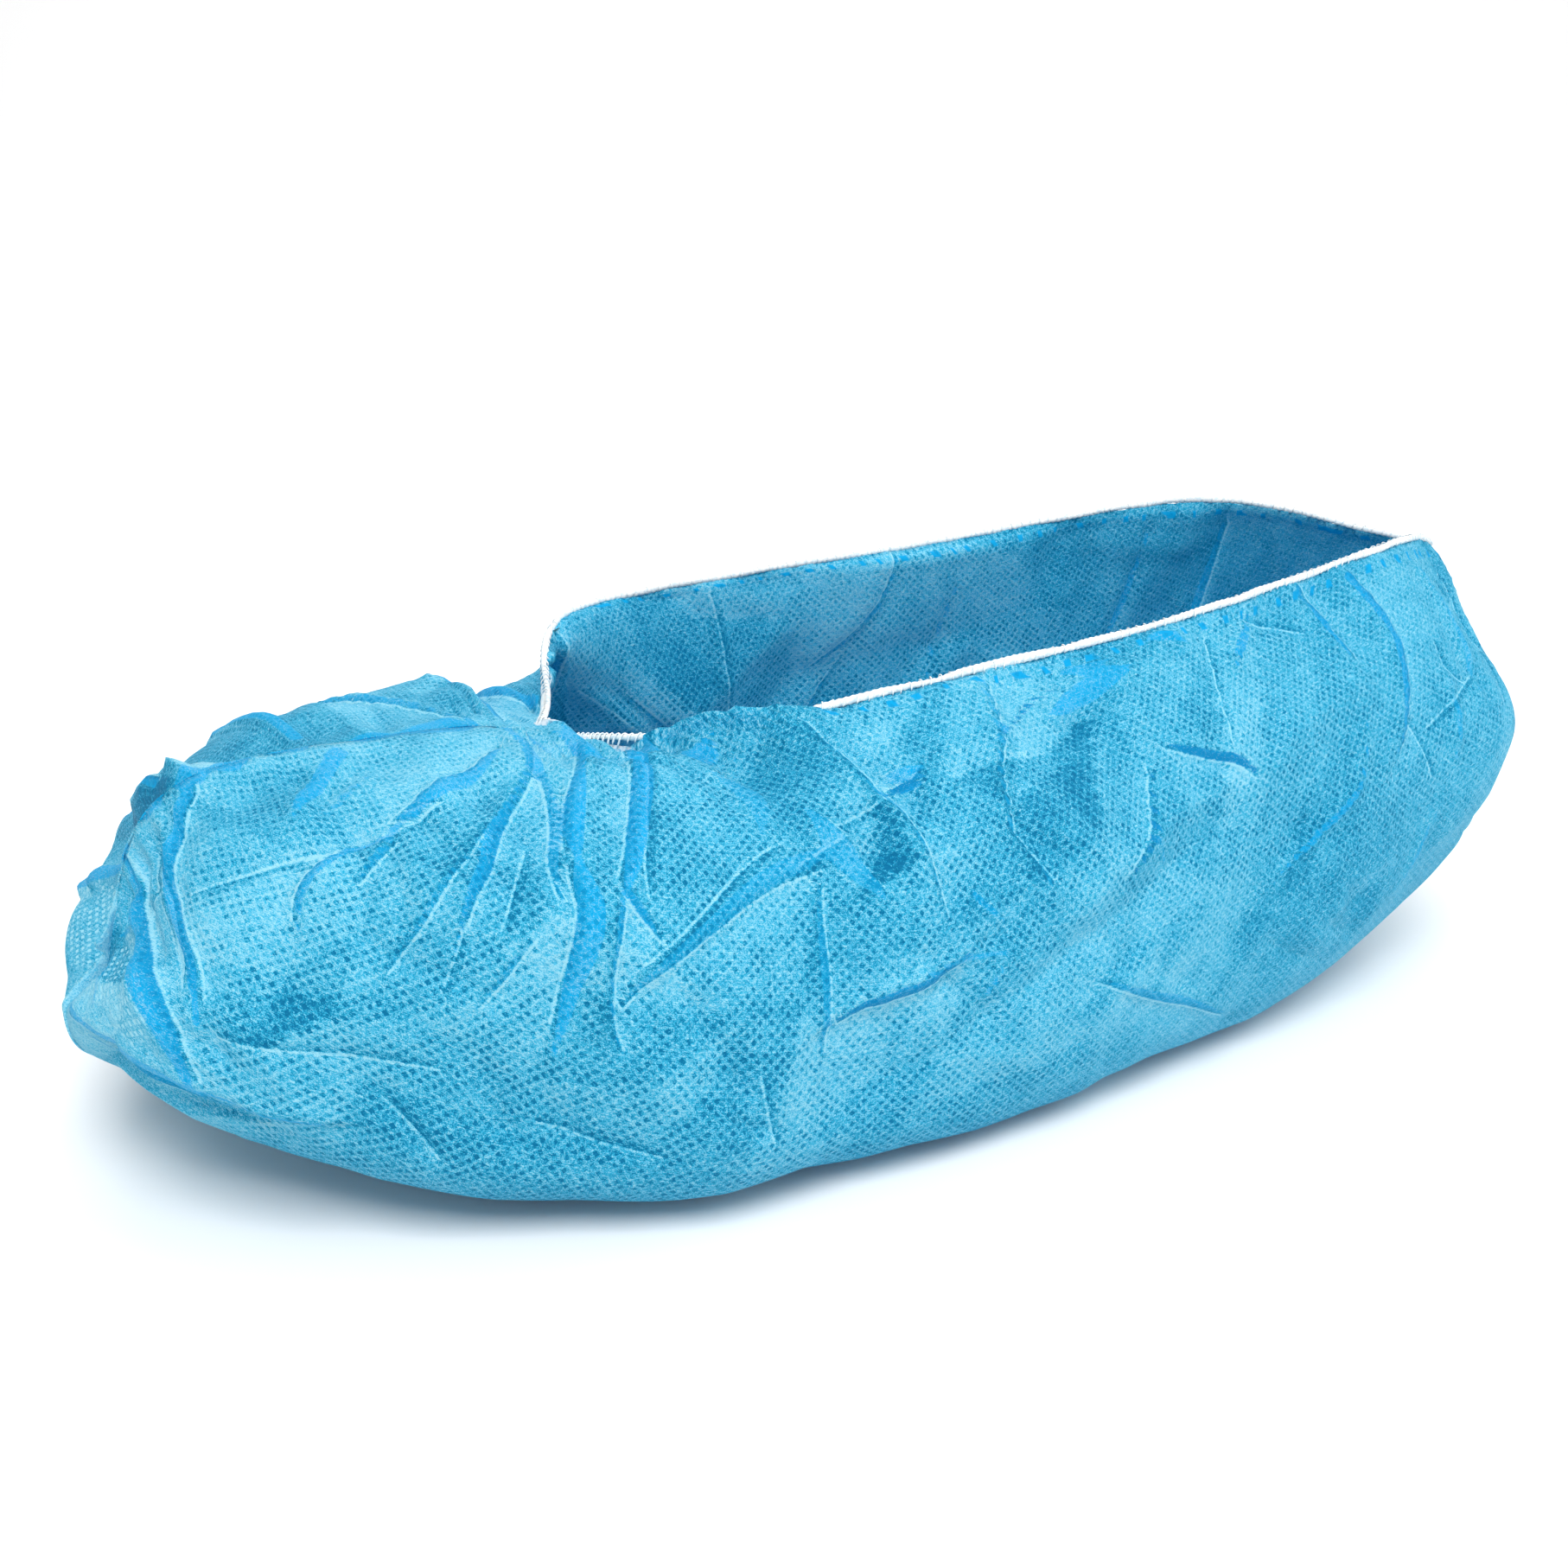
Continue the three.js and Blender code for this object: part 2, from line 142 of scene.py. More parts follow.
def bag_form(station, drop, side):
    """Points of the smooth bag in millimetres. The drop runs from the top edge, 0, to the
    middle of the sole, 1."""
    (x_sole, x_bulge, x_top, y_middle, sole_half, sole_z, bulge_half, bulge_z, shoulder_half,
     shoulder_z, near_y, far_y, top_z) = np.moveaxis(through_sections(station), -1, 0)
    open_y = np.where(side < 0, near_y, far_y)
    top_y = np.where(station > OPENING_FRONT + 1e-6, open_y, (near_y + far_y) / 2)
    sag = FRONT_SAG * ease(station, 6.02, 6.2) * (1 - ease(station, 6.45, 6.9)) * (side < 0)
    top_z = top_z - sag
    weights = spline_weights(drop)
    xs = np.stack([x_top, (x_top + x_bulge) / 2, x_bulge, x_sole, x_sole, x_sole], -1)
    ys = np.stack([top_y, y_middle + side * shoulder_half, y_middle + side * bulge_half,
                   y_middle + side * 1.12 * sole_half, y_middle + side * 0.6 * sole_half,
                   y_middle + 0 * side], -1)
    zs = np.stack([top_z, shoulder_z, bulge_z, sole_z, sole_z, sole_z], -1)
    slump = (1 - ease(station, 0.6, 2.4)) * (1 - ease(drop, 0.06, 0.2))
    return np.stack([(xs * weights).sum(-1) + MIDDLE_SHIFT_X + TOE_SLUMP * slump,
                     (ys * weights).sum(-1) + MIDDLE_SHIFT_Y,
                     (zs * weights).sum(-1) - 0.5 * TOE_SLUMP * slump], -1)


# Folds and creases, as they lie on the near side and, more plainly, on the far side. Columns: the
# fold's line as stations and drops, depth in mm, reach of its slope in mm, lean (1 if the cloth
# towards the heel or the top edge lies over the fold, -1 if the other side does, 0 for a groove or
# a ridge), width of the band of doubled cloth and painted fold shade in mm at its start, middle and
# end, all 0 for a crease, and how dark the band shows, above 1 for a painted shadow line.
NEAR_FOLDS = [
    # pleats that fan out below the front of the opening
    ([(6.3, 0.028), (5.84, 0.087), (5.48, 0.12), (5.24, 0.147), (5.06, 0.173), (4.92, 0.195)],
     2.0, 7, 1, (5.0, 3.6, 3.4), 1.0),
    ([(4.93, 0.192), (4.86, 0.21), (4.74, 0.247), (4.66, 0.297), (4.7, 0.34)],
     1.6, 5, -1, (2.0, 0.9, 0.6), 0.9),
    ([(5.8, 0.04), (5.26, 0.08), (5.02, 0.103), (4.86, 0.13), (4.77, 0.157)],
     1.5, 5, 1, (1.2, 3.6, 4.4), 1.0),
    ([(4.77, 0.157), (4.73, 0.177), (4.72, 0.2), (4.62, 0.23), (4.5, 0.263), (4.34, 0.33)],
     1.6, 5, 1, (3.8, 4.6, 3.2), 0.85),
    ([(5.2, 0.04), (4.96, 0.063), (4.6, 0.093), (4.44, 0.113), (4.26, 0.147), (4.14, 0.167),
      (4.04, 0.187), (3.92, 0.22)], 1.8, 6, -1, (1.6, 2.6, 1.4), 1.0),
    ([(5.12, 0.053), (4.94, 0.087), (4.78, 0.123), (4.64, 0.153), (4.6, 0.173), (4.57, 0.2)],
     1.1, 4, 1, (1.8, 2.0, 1.0), 0.6),
    ([(4.94, 0.19), (4.98, 0.21), (5.04, 0.24)], 1.0, 4, 1, (1.4, 1.4, 0.6), 0.9),
    ([(6.5, 0.004), (6.4, 0.02), (6.28, 0.036)], 0.8, 3, -1, (2.0, 3.0, 2.6), 0.8),
    ([(5.86, 0.016), (5.78, 0.04), (5.66, 0.08)], 0.8, 3, 0, (0.6, 1.6, 0.6), 0.8),
    ([(5.52, 0.016), (5.46, 0.03), (5.32, 0.055)], 0.8, 3, 0, (0.8, 1.8, 0.6), 0.8),
    ([(4.58, 0.127), (4.38, 0.167), (4.2, 0.21)], 0.6, 3, 0, (0, 0, 0), 0),
    # wide furrows that run from the front of the opening towards the toe
    ([(5.0, 0.032), (4.8, 0.044), (4.48, 0.06), (4.16, 0.072), (3.86, 0.086)],
     1.8, 6, 1, (2.4, 5.0, 2.6), 0.9),
    ([(3.96, 0.087), (3.72, 0.09), (3.6, 0.09), (3.44, 0.1), (3.28, 0.11), (3.18, 0.123), (3.1, 0.15)],
     1.4, 4, 1, (2.0, 2.4, 2.4), 0.85),
    ([(3.9, 0.092), (3.72, 0.107), (3.52, 0.127)], 1.0, 3, -1, (2.2, 1.8, 0.8), 0.8),
    ([(4.58, 0.095), (4.3, 0.12), (4.12, 0.14), (3.92, 0.163), (3.8, 0.18), (3.68, 0.193), (3.46, 0.23)],
     1.3, 4, -1, (0.6, 1.4, 1.2), 0.5),
    ([(4.4, 0.212), (4.26, 0.23), (4.14, 0.25), (3.96, 0.275)], 0.9, 4, -1, (1.0, 1.4, 0.8), 0.5),
    ([(4.08, 0.033), (3.8, 0.047), (3.56, 0.063)], 1.2, 5, 0, (1.4, 2.2, 1.4), 0.6),
    ([(4.0, 0.01), (3.66, 0.033), (3.38, 0.062)], 1.8, 6, 0, (5.0, 3.6, 2.4), 0.9),
    ([(4.5, 0.07), (3.88, 0.09), (3.54, 0.09), (3.2, 0.087), (2.74, 0.087), (2.2, 0.083)],
     1.2, 6, 0, (0, 0, 0), 0),
    ([(4.06, 0.187), (3.8, 0.255)], 0.5, 3, 0, (0, 0, 0), 0),
    ([(2.98, 0.12), (2.98, 0.15), (2.98, 0.185)], 0.5, 3, 0, (0.6, 1.2, 0.6), 0.5),
    # toe
    ([(2.74, 0.008), (2.56, 0.017), (2.36, 0.037), (2.12, 0.063), (2.1, 0.087), (2.14, 0.123),
      (2.18, 0.16), (2.2, 0.23)], 1.8, 6, -1, (3.6, 2.2, 3.0), 1.0),
    ([(1.22, 0.006), (1.24, 0.02), (1.34, 0.053), (1.5, 0.09), (1.68, 0.14), (1.84, 0.19), (1.94, 0.24),
      (2.0, 0.3), (2.06, 0.36)], 1.8, 6, -1, (2.4, 3.6, 3.6), 1.0),
    ([(1.52, 0.066), (1.86, 0.06), (2.08, 0.062)], 0.6, 3, 0, (0, 0, 0), 0),
    ([(0.44, 0.044), (0.8, 0.052), (1.26, 0.062)], 0.7, 3, 0, (0.8, 1.6, 1.0), 0.7),
    ([(1.1, 0.014), (1.22, 0.037), (1.36, 0.06)], 1.0, 4, 0, (1.4, 2.0, 1.6), 0.6),
    ([(0.1, 0.17), (0.5, 0.2), (1.2, 0.27), (1.8, 0.34), (2.4, 0.39), (3.0, 0.42)],
     2.6, 6, 1, (2.2, 3.6, 1.8), 0.85),
    ([(0.4, 0.25), (1.0, 0.34), (1.76, 0.42), (2.6, 0.46)], 1.6, 5, 1, (1.4, 2.2, 1.0), 0.8),
    ([(0.5, 0.06), (0.7, 0.12), (0.78, 0.19)], 0.9, 4, 0, (0.8, 1.4, 0.8), 0.5),
    # long diagonals on the outer side
    ([(6.48, 0.174), (6.1, 0.2), (5.66, 0.223), (5.1, 0.25), (4.82, 0.273), (4.66, 0.3)],
     1.4, 6, -1, (5.6, 2.6, 0.8), 0.5),
    ([(6.3, 0.166), (5.9, 0.193), (5.5, 0.217), (5.06, 0.243), (4.8, 0.262)], 0.5, 3, 0, (0, 0, 0), 0),
    ([(6.66, 0.153), (6.4, 0.178), (6.2, 0.196)], 0.8, 4, 0, (0, 0, 0), 0),
    ([(7.02, 0.11), (6.8, 0.13), (6.56, 0.15)], 0.8, 4, 0, (0, 0, 0), 0),
    ([(6.42, 0.012), (5.92, 0.083), (5.48, 0.127), (5.14, 0.173), (5.04, 0.21)], 0.8, 4, 0, (0, 0, 0), 0),
    ([(6.28, 0.085), (6.32, 0.1), (6.28, 0.13), (6.12, 0.165)], 1.0, 6, 0, (3.0, 4.6, 3.6), 0.35),
    ([(7.06, 0.017), (7.0, 0.073), (6.98, 0.113), (6.96, 0.147), (6.9, 0.203), (6.84, 0.27)],
     1.6, 6, -1, (0.8, 1.4, 0.8), 0.5),
    ([(7.0, 0.107), (7.12, 0.1), (7.2, 0.1), (7.32, 0.08)], 1.2, 4, -1, (1.6, 2.2, 1.6), 1.5),
    ([(7.06, 0.087), (7.22, 0.083), (7.32, 0.08)], 0.7, 3, 0, (1.4, 2.0, 1.4), 0.6),
    ([(6.52, 0.13), (6.5, 0.177), (6.56, 0.225)], 1.4, 6, 0, (3.0, 6.0, 3.0), 0.5),
    ([(6.3, 0.2), (6.14, 0.257), (6.04, 0.323), (5.94, 0.4)], 0.8, 4, -1, (1.0, 1.8, 1.4), 0.5),
    ([(7.9, 0.017), (7.8, 0.047), (7.7, 0.077), (7.54, 0.12), (7.42, 0.167), (7.42, 0.207), (7.46, 0.25)],
     1.9, 7, -1, (3.4, 1.6, 1.4), 0.6),
    ([(7.7, 0.077), (7.9, 0.057), (8.04, 0.04), (8.2, 0.03)], 1.2, 5, 0, (1.4, 1.6, 1.8), 1.7),
    ([(8.04, 0.06), (8.22, 0.047), (8.4, 0.038), (8.6, 0.03)], 1.6, 6, 0, (2.0, 5.0, 4.0), 0.8),
    ([(8.3, 0.016), (8.42, 0.022), (8.56, 0.018)], 0.8, 4, 0, (1.4, 3.0, 1.4), 0.7),
    ([(6.02, 0.35), (6.22, 0.333), (6.48, 0.323), (6.74, 0.307), (6.98, 0.28)],
     2.2, 6, 1, (1.6, 2.4, 1.6), 1.4),
    ([(7.12, 0.3), (7.02, 0.33), (6.92, 0.357)], 0.7, 4, 0, (1.0, 1.6, 1.4), 0.8),
    ([(7.04, 0.213), (7.08, 0.237), (7.18, 0.27)], 0.8, 3, 0, (1.0, 1.5, 1.0), 0.7),
    ([(6.6, 0.302), (6.88, 0.293), (7.16, 0.296)], 0.6, 3, 0, (0.5, 1.4, 0.8), 0.6),
    ([(7.56, 0.367), (7.94, 0.437), (8.28, 0.49), (8.66, 0.57)], 1.4, 6, 1, (1.2, 2.4, 1.4), 0.6),
    ([(8.7, 0.225), (8.32, 0.245), (7.9, 0.29), (7.4, 0.33), (6.98, 0.37), (6.6, 0.42)],
     1.8, 14, 0, (0, 0, 0), 0),
    ([(2.24, 0.25), (2.86, 0.287), (3.38, 0.32), (3.78, 0.343)], 0.7, 6, 0, (0, 0, 0), 0),
    ([(8.46, 0.115), (8.62, 0.132), (8.84, 0.15), (8.96, 0.177)], 1.6, 5, 1, (1.6, 1.6, 2.0), 1.5),
    ([(8.38, 0.12), (8.28, 0.163), (8.16, 0.2), (8.1, 0.217), (7.94, 0.243), (7.82, 0.27)],
     1.4, 5, 1, (1.4, 2.0, 1.6), 1.5),
    ([(8.12, 0.213), (8.14, 0.243), (8.18, 0.28)], 0.6, 3, 0, (1.2, 1.0, 0.6), 0.6),
    ([(9.1, 0.022), (8.94, 0.077), (8.82, 0.145)], 1.0, 5, 0, (0, 0, 0), 0),
    # heel quarter
    ([(9.5, 0.01), (9.36, 0.027), (9.2, 0.045), (9.12, 0.06)], 1.4, 5, 0, (2.2, 2.6, 1.6), 1.15),
    ([(9.46, 0.017), (9.62, 0.03), (9.8, 0.045)], 0.9, 4, 0, (0, 0, 0), 0),
    ([(9.9, 0.006), (9.95, 0.033), (9.98, 0.063), (9.98, 0.093)], 1.7, 6, -1, (2.4, 3.6, 2.4), 1.25),
    ([(10.34, 0.012), (10.42, 0.043), (10.46, 0.073), (10.32, 0.127), (10.18, 0.18), (10.02, 0.22)],
     2.0, 7, -1, (4.4, 4.0, 2.0), 1.25),
    ([(9.86, 0.143), (9.7, 0.23), (9.34, 0.273), (9.12, 0.3), (8.82, 0.343)],
     1.2, 6, 0, (2.0, 1.8, 1.4), 1.2),
    ([(10.2, 0.097), (9.46, 0.13), (9.24, 0.143), (8.9, 0.2)], -1.5, 12, 0, (0, 0, 0), 0),
    ([(8.8, 0.17), (8.32, 0.2), (7.9, 0.235), (7.5, 0.28)], -1.6, 12, 0, (0, 0, 0), 0),
    ([(8.76, 0.01), (8.88, 0.01), (8.98, 0.026)], 0.9, 4, 0, (2.4, 2.4, 1.4), 0.9),
    ([(10.88, 0.13), (10.78, 0.187), (10.66, 0.26)], 1.2, 5, 0, (1.8, 2.2, 1.4), 0.6),
    ([(11.3, 0.02), (11.4, 0.09), (11.2, 0.17)], 1.2, 6, 0, (1.4, 2.4, 1.4), 0.5),
    ([(12.1, 0.03), (12.0, 0.11), (11.6, 0.2)], 1.1, 6, 0, (0, 0, 0), 0),
    ([(10.52, 0.33), (10.38, 0.393), (10.2, 0.45)], 1.0, 5, 0, (1.6, 2.2, 1.6), 0.5),
]
FAR_FOLDS = [
    ([(5.7, 0.02), (5.4, 0.1), (5.0, 0.24)], 3.0, 7, -1, (2.4, 3.0, 1.6), 1.0),
    ([(6.2, 0.02), (5.8, 0.12), (5.5, 0.28)], 1.8, 6, 1, (1.8, 2.6, 1.4), 0.9),
    ([(3.9, 0.02), (3.7, 0.1), (3.4, 0.22)], 2.4, 6, 0, (3.0, 2.6, 1.6), 0.8),
    ([(2.6, 0.02), (2.5, 0.1), (2.4, 0.22)], 2.0, 6, -1, (2.4, 2.6, 1.6), 1.0),
    ([(1.2, 0.02), (1.6, 0.12), (1.8, 0.32)], 2.2, 6, 0, (2.2, 3.0, 2.4), 1.0),
    ([(6.8, 0.02), (6.4, 0.15), (6.0, 0.3)], 1.8, 6, -1, (1.6, 2.2, 1.2), 0.7),
    ([(7.8, 0.02), (7.6, 0.15), (7.5, 0.3)], 1.4, 6, 0, (0, 0, 0), 0),
    ([(8.4, 0.15), (8.0, 0.3), (7.4, 0.4)], 1.5, 6, 1, (0.8, 1.8, 0.8), 0.6),
    ([(9.2, 0.02), (9.0, 0.12), (8.8, 0.25)], 1.5, 5, 0, (1.2, 2.0, 1.0), 0.7),
    ([(10.6, 0.02), (10.4, 0.12), (10.1, 0.25)], 1.5, 5, 0, (1.4, 2.4, 1.2), 0.8),
    ([(9.8, 0.2), (9.0, 0.32), (8.0, 0.42)], 1.0, 6, 0, (0, 0, 0), 0),
    ([(4.6, 0.1), (4.4, 0.22), (4.6, 0.36)], 1.5, 6, 1, (1.0, 2.0, 1.0), 0.7),
    ([(5.2, 0.01), (4.7, 0.07), (4.1, 0.15)], 1.6, 5, 1, (1.4, 2.4, 1.2), 0.8),
    ([(6.9, 0.16), (7.2, 0.26), (7.9, 0.34)], 1.2, 5, -1, (1.0, 1.8, 1.0), 0.6),
    ([(8.8, 0.01), (8.6, 0.09), (8.1, 0.2)], 1.4, 6, 1, (1.6, 2.0, 1.0), 0.7),
    ([(11.4, 0.02), (11.2, 0.12), (10.9, 0.26)], 1.5, 6, -1, (1.6, 2.4, 1.2), 0.8),
]

# The sheet's mesh is closest over the gathered front of the opening and on the outer side.
SHEET_ALONG = 284
NEAR_ACROSS = 112
FAR_ACROSS = NEAR_ACROSS // 2
sheet_steps = np.linspace(0, STERN, 2001)
closeness = np.cumsum(1 + 1.2 * np.exp(-((sheet_steps - 5.4) / 1.6) ** 2))
closeness = (closeness - closeness[0]) / (closeness[-1] - closeness[0])
stations = np.interp(np.linspace(0, 1, SHEET_ALONG + 1), closeness, sheet_steps)
down = np.linspace(0, 1, NEAR_ACROSS + 1)
near_drops = 0.66 * down + 0.34 * down**9
drops = np.concatenate([near_drops, near_drops[::2][::-1][1:]])
sides = np.concatenate([np.full(NEAR_ACROSS + 1, -1.0), np.full(FAR_ACROSS, 1.0)])
SHEET_ACROSS = len(drops) - 1
station_at, drop_at = np.meshgrid(stations, drops, indexing="ij")
side_at = np.meshgrid(stations, sides, indexing="ij")[1]
form = bag_form(station_at, drop_at, side_at)

# Unit normals out of the bag. The two sides share one along the closed top edge.
outward = np.cross(np.gradient(form, axis=0), np.gradient(form, axis=1))
outward = outward / np.maximum(np.linalg.norm(outward, axis=-1, keepdims=True), 1e-9)
closed = stations <= OPENING_FRONT + 1e-6
shared = outward[closed, 0] + outward[closed, -1]
shared = shared / np.linalg.norm(shared, axis=-1, keepdims=True)
outward[closed, 0] = shared
outward[closed, -1] = shared


def laid_flat(points, every_along=4, every_across=4, rounds=1500):
    """Places of the grid's points on the flat cloth, in millimetres. Each point of a coarser grid
    is moved until its distances from its neighbours are those on the bag."""
    rows = np.unique(np.append(np.arange(0, len(stations), every_along), len(stations) - 1))
    columns = np.unique(np.append(np.arange(0, len(drops), every_across), len(drops) - 1))
    coarse = points[np.ix_(rows, columns)]
    along = np.linalg.norm(np.diff(coarse, axis=0), axis=-1).mean(1)
    across = np.linalg.norm(np.diff(coarse, axis=1), axis=-1)
    flat = np.zeros(coarse.shape[:2] + (2,))
    flat[..., 0] = np.concatenate([[0], np.cumsum(along)])[:, None]
    widths = np.concatenate([np.zeros((len(rows), 1)), np.cumsum(across, axis=1)], axis=1)
    middle = np.argmin(np.abs(columns - NEAR_ACROSS))
    flat[..., 1] = widths - widths[:, middle][:, None]
    pairs = [((1, 0), (0, 0)), ((0, 1), (0, 0)), ((1, 1), (0, 0)), ((1, 0), (0, 1)),
             ((2, 0), (0, 0)), ((0, 2), (0, 0))]
    height, width = flat.shape[:2]
    slices = []
    for (ai, aj), (bi, bj) in pairs:
        i_span, j_span = max(ai, bi), max(aj, bj)
        a = (slice(ai, height - i_span + ai), slice(aj, width - j_span + aj))
        b = (slice(bi, height - i_span + bi), slice(bj, width - j_span + bj))
        slices.append((a, b, np.linalg.norm(coarse[a] - coarse[b], axis=-1)))
    for _ in range(rounds):
        push = np.zeros_like(flat)
        for a, b, length in slices:
            gap = flat[a] - flat[b]
            now = np.maximum(np.linalg.norm(gap, axis=-1), 1e-6)
            move = gap * ((length - now) / now)[..., None] * 0.11
            push[a] += move
            push[b] -= move
        flat += push
    flat = flat - flat[len(rows) // 2, middle]
    fine = np.empty(points.shape[:2] + (2,))
    for k in range(2):
        by_row = np.array([np.interp(np.arange(len(drops)), columns, row) for row in flat[..., k]])
        fine[..., k] = np.array([np.interp(np.arange(len(stations)), rows, column)
                                 for column in by_row.T]).T
    return fine


cloth_places = laid_flat(form)
cloth_x, cloth_y = cloth_places[..., 0], cloth_places[..., 1]

FAR_OFF = 9.0
fold_lift = np.zeros(form.shape[:2])
inside_band = np.full(form.shape[:2], -FAR_OFF)
band_shade = np.zeros(form.shape[:2])
# painted highlight on the crests of the folds
crest_highlight = np.zeros(form.shape[:2])
crease_offset = np.full(form.shape[:2], FAR_OFF)
crease_reach = np.full(form.shape[:2], FAR_OFF)
# A fold whose slope reaches further than this, in mm, is soft and has no crease.
SOFT_REACH = 7.5


def press_fold(side, points, depth, reach, lean, bands, shade, marked=True):
    """Presses one fold into the cloth, and notes where its doubled cloth and its crease lie, and where the
    cloth over it gets a painted highlight.
    """
    knots = np.array(points)
    at = np.linspace(0, len(points) - 1, 6 * (len(points) - 1) + 1)
    route = np.stack([np.interp(at, np.arange(len(points)), knots[:, k]) for k in range(2)])
    for _ in range(4):
        route[:, 1:-1] = (route[:, :-2] + 2 * route[:, 1:-1] + route[:, 2:]) / 4
    line = bag_form(route[0], np.maximum(route[1], 0), np.full(at.shape, float(side)))
    low = line.min(0) - 4 * reach
    high = line.max(0) + 4 * reach
    near = ((form > low) & (form < high)).all(-1) & (side_at == side)
    spots, out = form[near], outward[near]
    distance = np.full(len(spots), 1e9)
    place = np.zeros(len(spots))
    toward = np.zeros(len(spots))
    steps = len(at) - 1
    for k in range(steps):
        run = line[k + 1] - line[k]
        offset = spots - line[k]
        along = np.clip(offset @ run / (run @ run), 0, 1)
        away = offset - along[:, None] * run
        gap = np.linalg.norm(away, axis=-1)
        closer = gap < distance
        distance = np.where(closer, gap, distance)
        place = np.where(closer, (k + along) / steps, place)
        toward = np.where(closer, (np.cross(run, out) * away).sum(-1) * side, toward)
    signed = np.where(toward < 0, -distance, distance)
    half = np.interp(place, [0, 0.5, 1], bands) / 2
    fade = np.sin(math.pi * np.clip(place, 0.04, 0.96)) ** 0.5
    fade = np.where((place < 0.5) & (points[0][1] < 0.05), np.maximum(fade, 0.75), fade)
    if lean:
        across = signed * lean
        over = ease(across, half - 1.8, half + 1.2)
        crest = np.exp(-np.maximum(across - half, 0) / reach)
        under = 1 - ease(-across, half, half + 0.5 * reach)
        lift = depth * fade * (0.8 * over * crest - 0.45 * (1 - over) * under)
        # painted highlight on the cloth that lies over the fold, next to its band
        crest_highlight[near] += min(shade, 1.0) * fade * ease(across, half - 0.2, half + 0.6) * np.exp(
            -np.maximum(across - half, 0) / (0.6 * reach))
    elif max(bands) > 0:
        groove = 1 - ease(distance, half - 1.2, half + 2.2)
        lip = np.exp(-(np.maximum(distance - half - 1.6, 0) / (0.6 * reach)) ** 1.4) * (1 - groove)
        lift = depth * fade * (0.3 * lip - 0.7 * groove)
    else:
        lift = 1.4 * depth * fade * np.exp(-np.maximum(distance - 0.4, 0) / (0.45 * reach))
    fold_lift[near] += lift
    if max(bands) > 0:
        inside = half * fade - distance
        deepest = inside > inside_band[near]
        inside_band[near] = np.where(deepest, inside, inside_band[near])
        band_shade[near] = np.where(deepest, shade, band_shade[near])
    # a marked crease is noted for a painted highlight line and painted shade beside it
    if marked and reach < SOFT_REACH and (lean or max(bands) == 0):
        offset = signed * (lean or 1) - (half if lean else 0)
        reached = np.abs(offset) + 2.5 * ease(0.7 - fade, 0, 0.5) + ease(distance, half + 1, half + 3)
        nearest = reached < crease_reach[near]
        crease_reach[near] = np.where(nearest, reached, crease_reach[near])
        crease_offset[near] = np.where(nearest, offset, crease_offset[near])


for side, folds in ((NEAR, NEAR_FOLDS), (FAR, FAR_FOLDS)):
    for fold in folds:
        press_fold(side, *fold)

# Small creases between the folds. They hang from the gathered edge, and turn to run lengthwise
# lower down.
SMALL_CREASES = 150
# share of the small creases marked with painted highlight and shade lines
MARKED_SHARE = 0.14
rng = np.random.default_rng(12)
for _ in range(SMALL_CREASES):
    side = NEAR if rng.random() < 0.6 else FAR
    u = rng.uniform(0.7, 12.5)
    s = 0.02 + 0.42 * rng.random() ** 1.4
    steep = math.radians(rng.normal(90 - 70 * s, 28))
    length = rng.uniform(9, 30)
    du = math.cos(steep) * length / STATION_LENGTH + 0.25 * (5.2 - u) * (u < 7) * rng.random() * 0.3
    ds = math.sin(steep) * length / SIDE_DROP
    bend = rng.normal(0, 0.06)
    middle = (u + du / 2 + bend, s + ds / 2)
    finish = (min(max(u + du, 0.5), 13.2), min(s + ds, 0.55))
    press_fold(side, [(u, s), middle, finish], rng.uniform(0.3, 0.9), rng.uniform(2.5, 5), 0,
               (0, 0, 0), 0, marked=rng.random() < MARKED_SHARE)


def crumple(spacing, height, seed):
    """Flat facets between sharp creases: random heights on loose points over the cloth. Gives the
    lift, and how far each facet leans towards the light, for the facets' painted shading."""
    rng = np.random.default_rng(seed)
    xs = np.arange(cloth_x.min() - spacing, cloth_x.max() + 2 * spacing, spacing)
    ys = np.arange(cloth_y.min() - spacing, cloth_y.max() + 2 * spacing, spacing)
    points = [(x + rng.uniform(-0.42, 0.42) * spacing, y + rng.uniform(-0.42, 0.42) * spacing)
              for x in xs for y in ys]
    heights = rng.normal(0, height, len(points))
    corners, _, faces, _, _, _ = delaunay_2d_cdt([Vector(p) for p in points], [], [], 0, 1e-6)
    result = np.zeros(form.shape[:2])
    facing = np.zeros(form.shape[:2])
    for a, b, c in faces:
        (ax, ay), (bx, by), (cx, cy) = corners[a], corners[b], corners[c]
        box = ((cloth_x >= min(ax, bx, cx)) & (cloth_x <= max(ax, bx, cx))
               & (cloth_y >= min(ay, by, cy)) & (cloth_y <= max(ay, by, cy)))
        if not box.any():
            continue
        px, py = cloth_x[box], cloth_y[box]
        area = (bx - ax) * (cy - ay) - (cx - ax) * (by - ay)
        weight_b = ((px - ax) * (cy - ay) - (cx - ax) * (py - ay)) / area
        weight_c = ((bx - ax) * (py - ay) - (px - ax) * (by - ay)) / area
        weight_a = 1 - weight_b - weight_c
        within = (weight_a >= -1e-6) & (weight_b >= -1e-6) & (weight_c >= -1e-6)
        value = weight_a * heights[a] + weight_b * heights[b] + weight_c * heights[c]
        result[box] = np.where(within, value, result[box])
        rise_b, rise_c = heights[b] - heights[a], heights[c] - heights[a]
        slope_x = (rise_b * (cy - ay) - rise_c * (by - ay)) / area
        slope_y = (rise_c * (bx - ax) - rise_b * (cx - ax)) / area
        facing[box] = np.where(within, 0.6 * slope_x + 0.8 * slope_y, facing[box])
    return result, facing


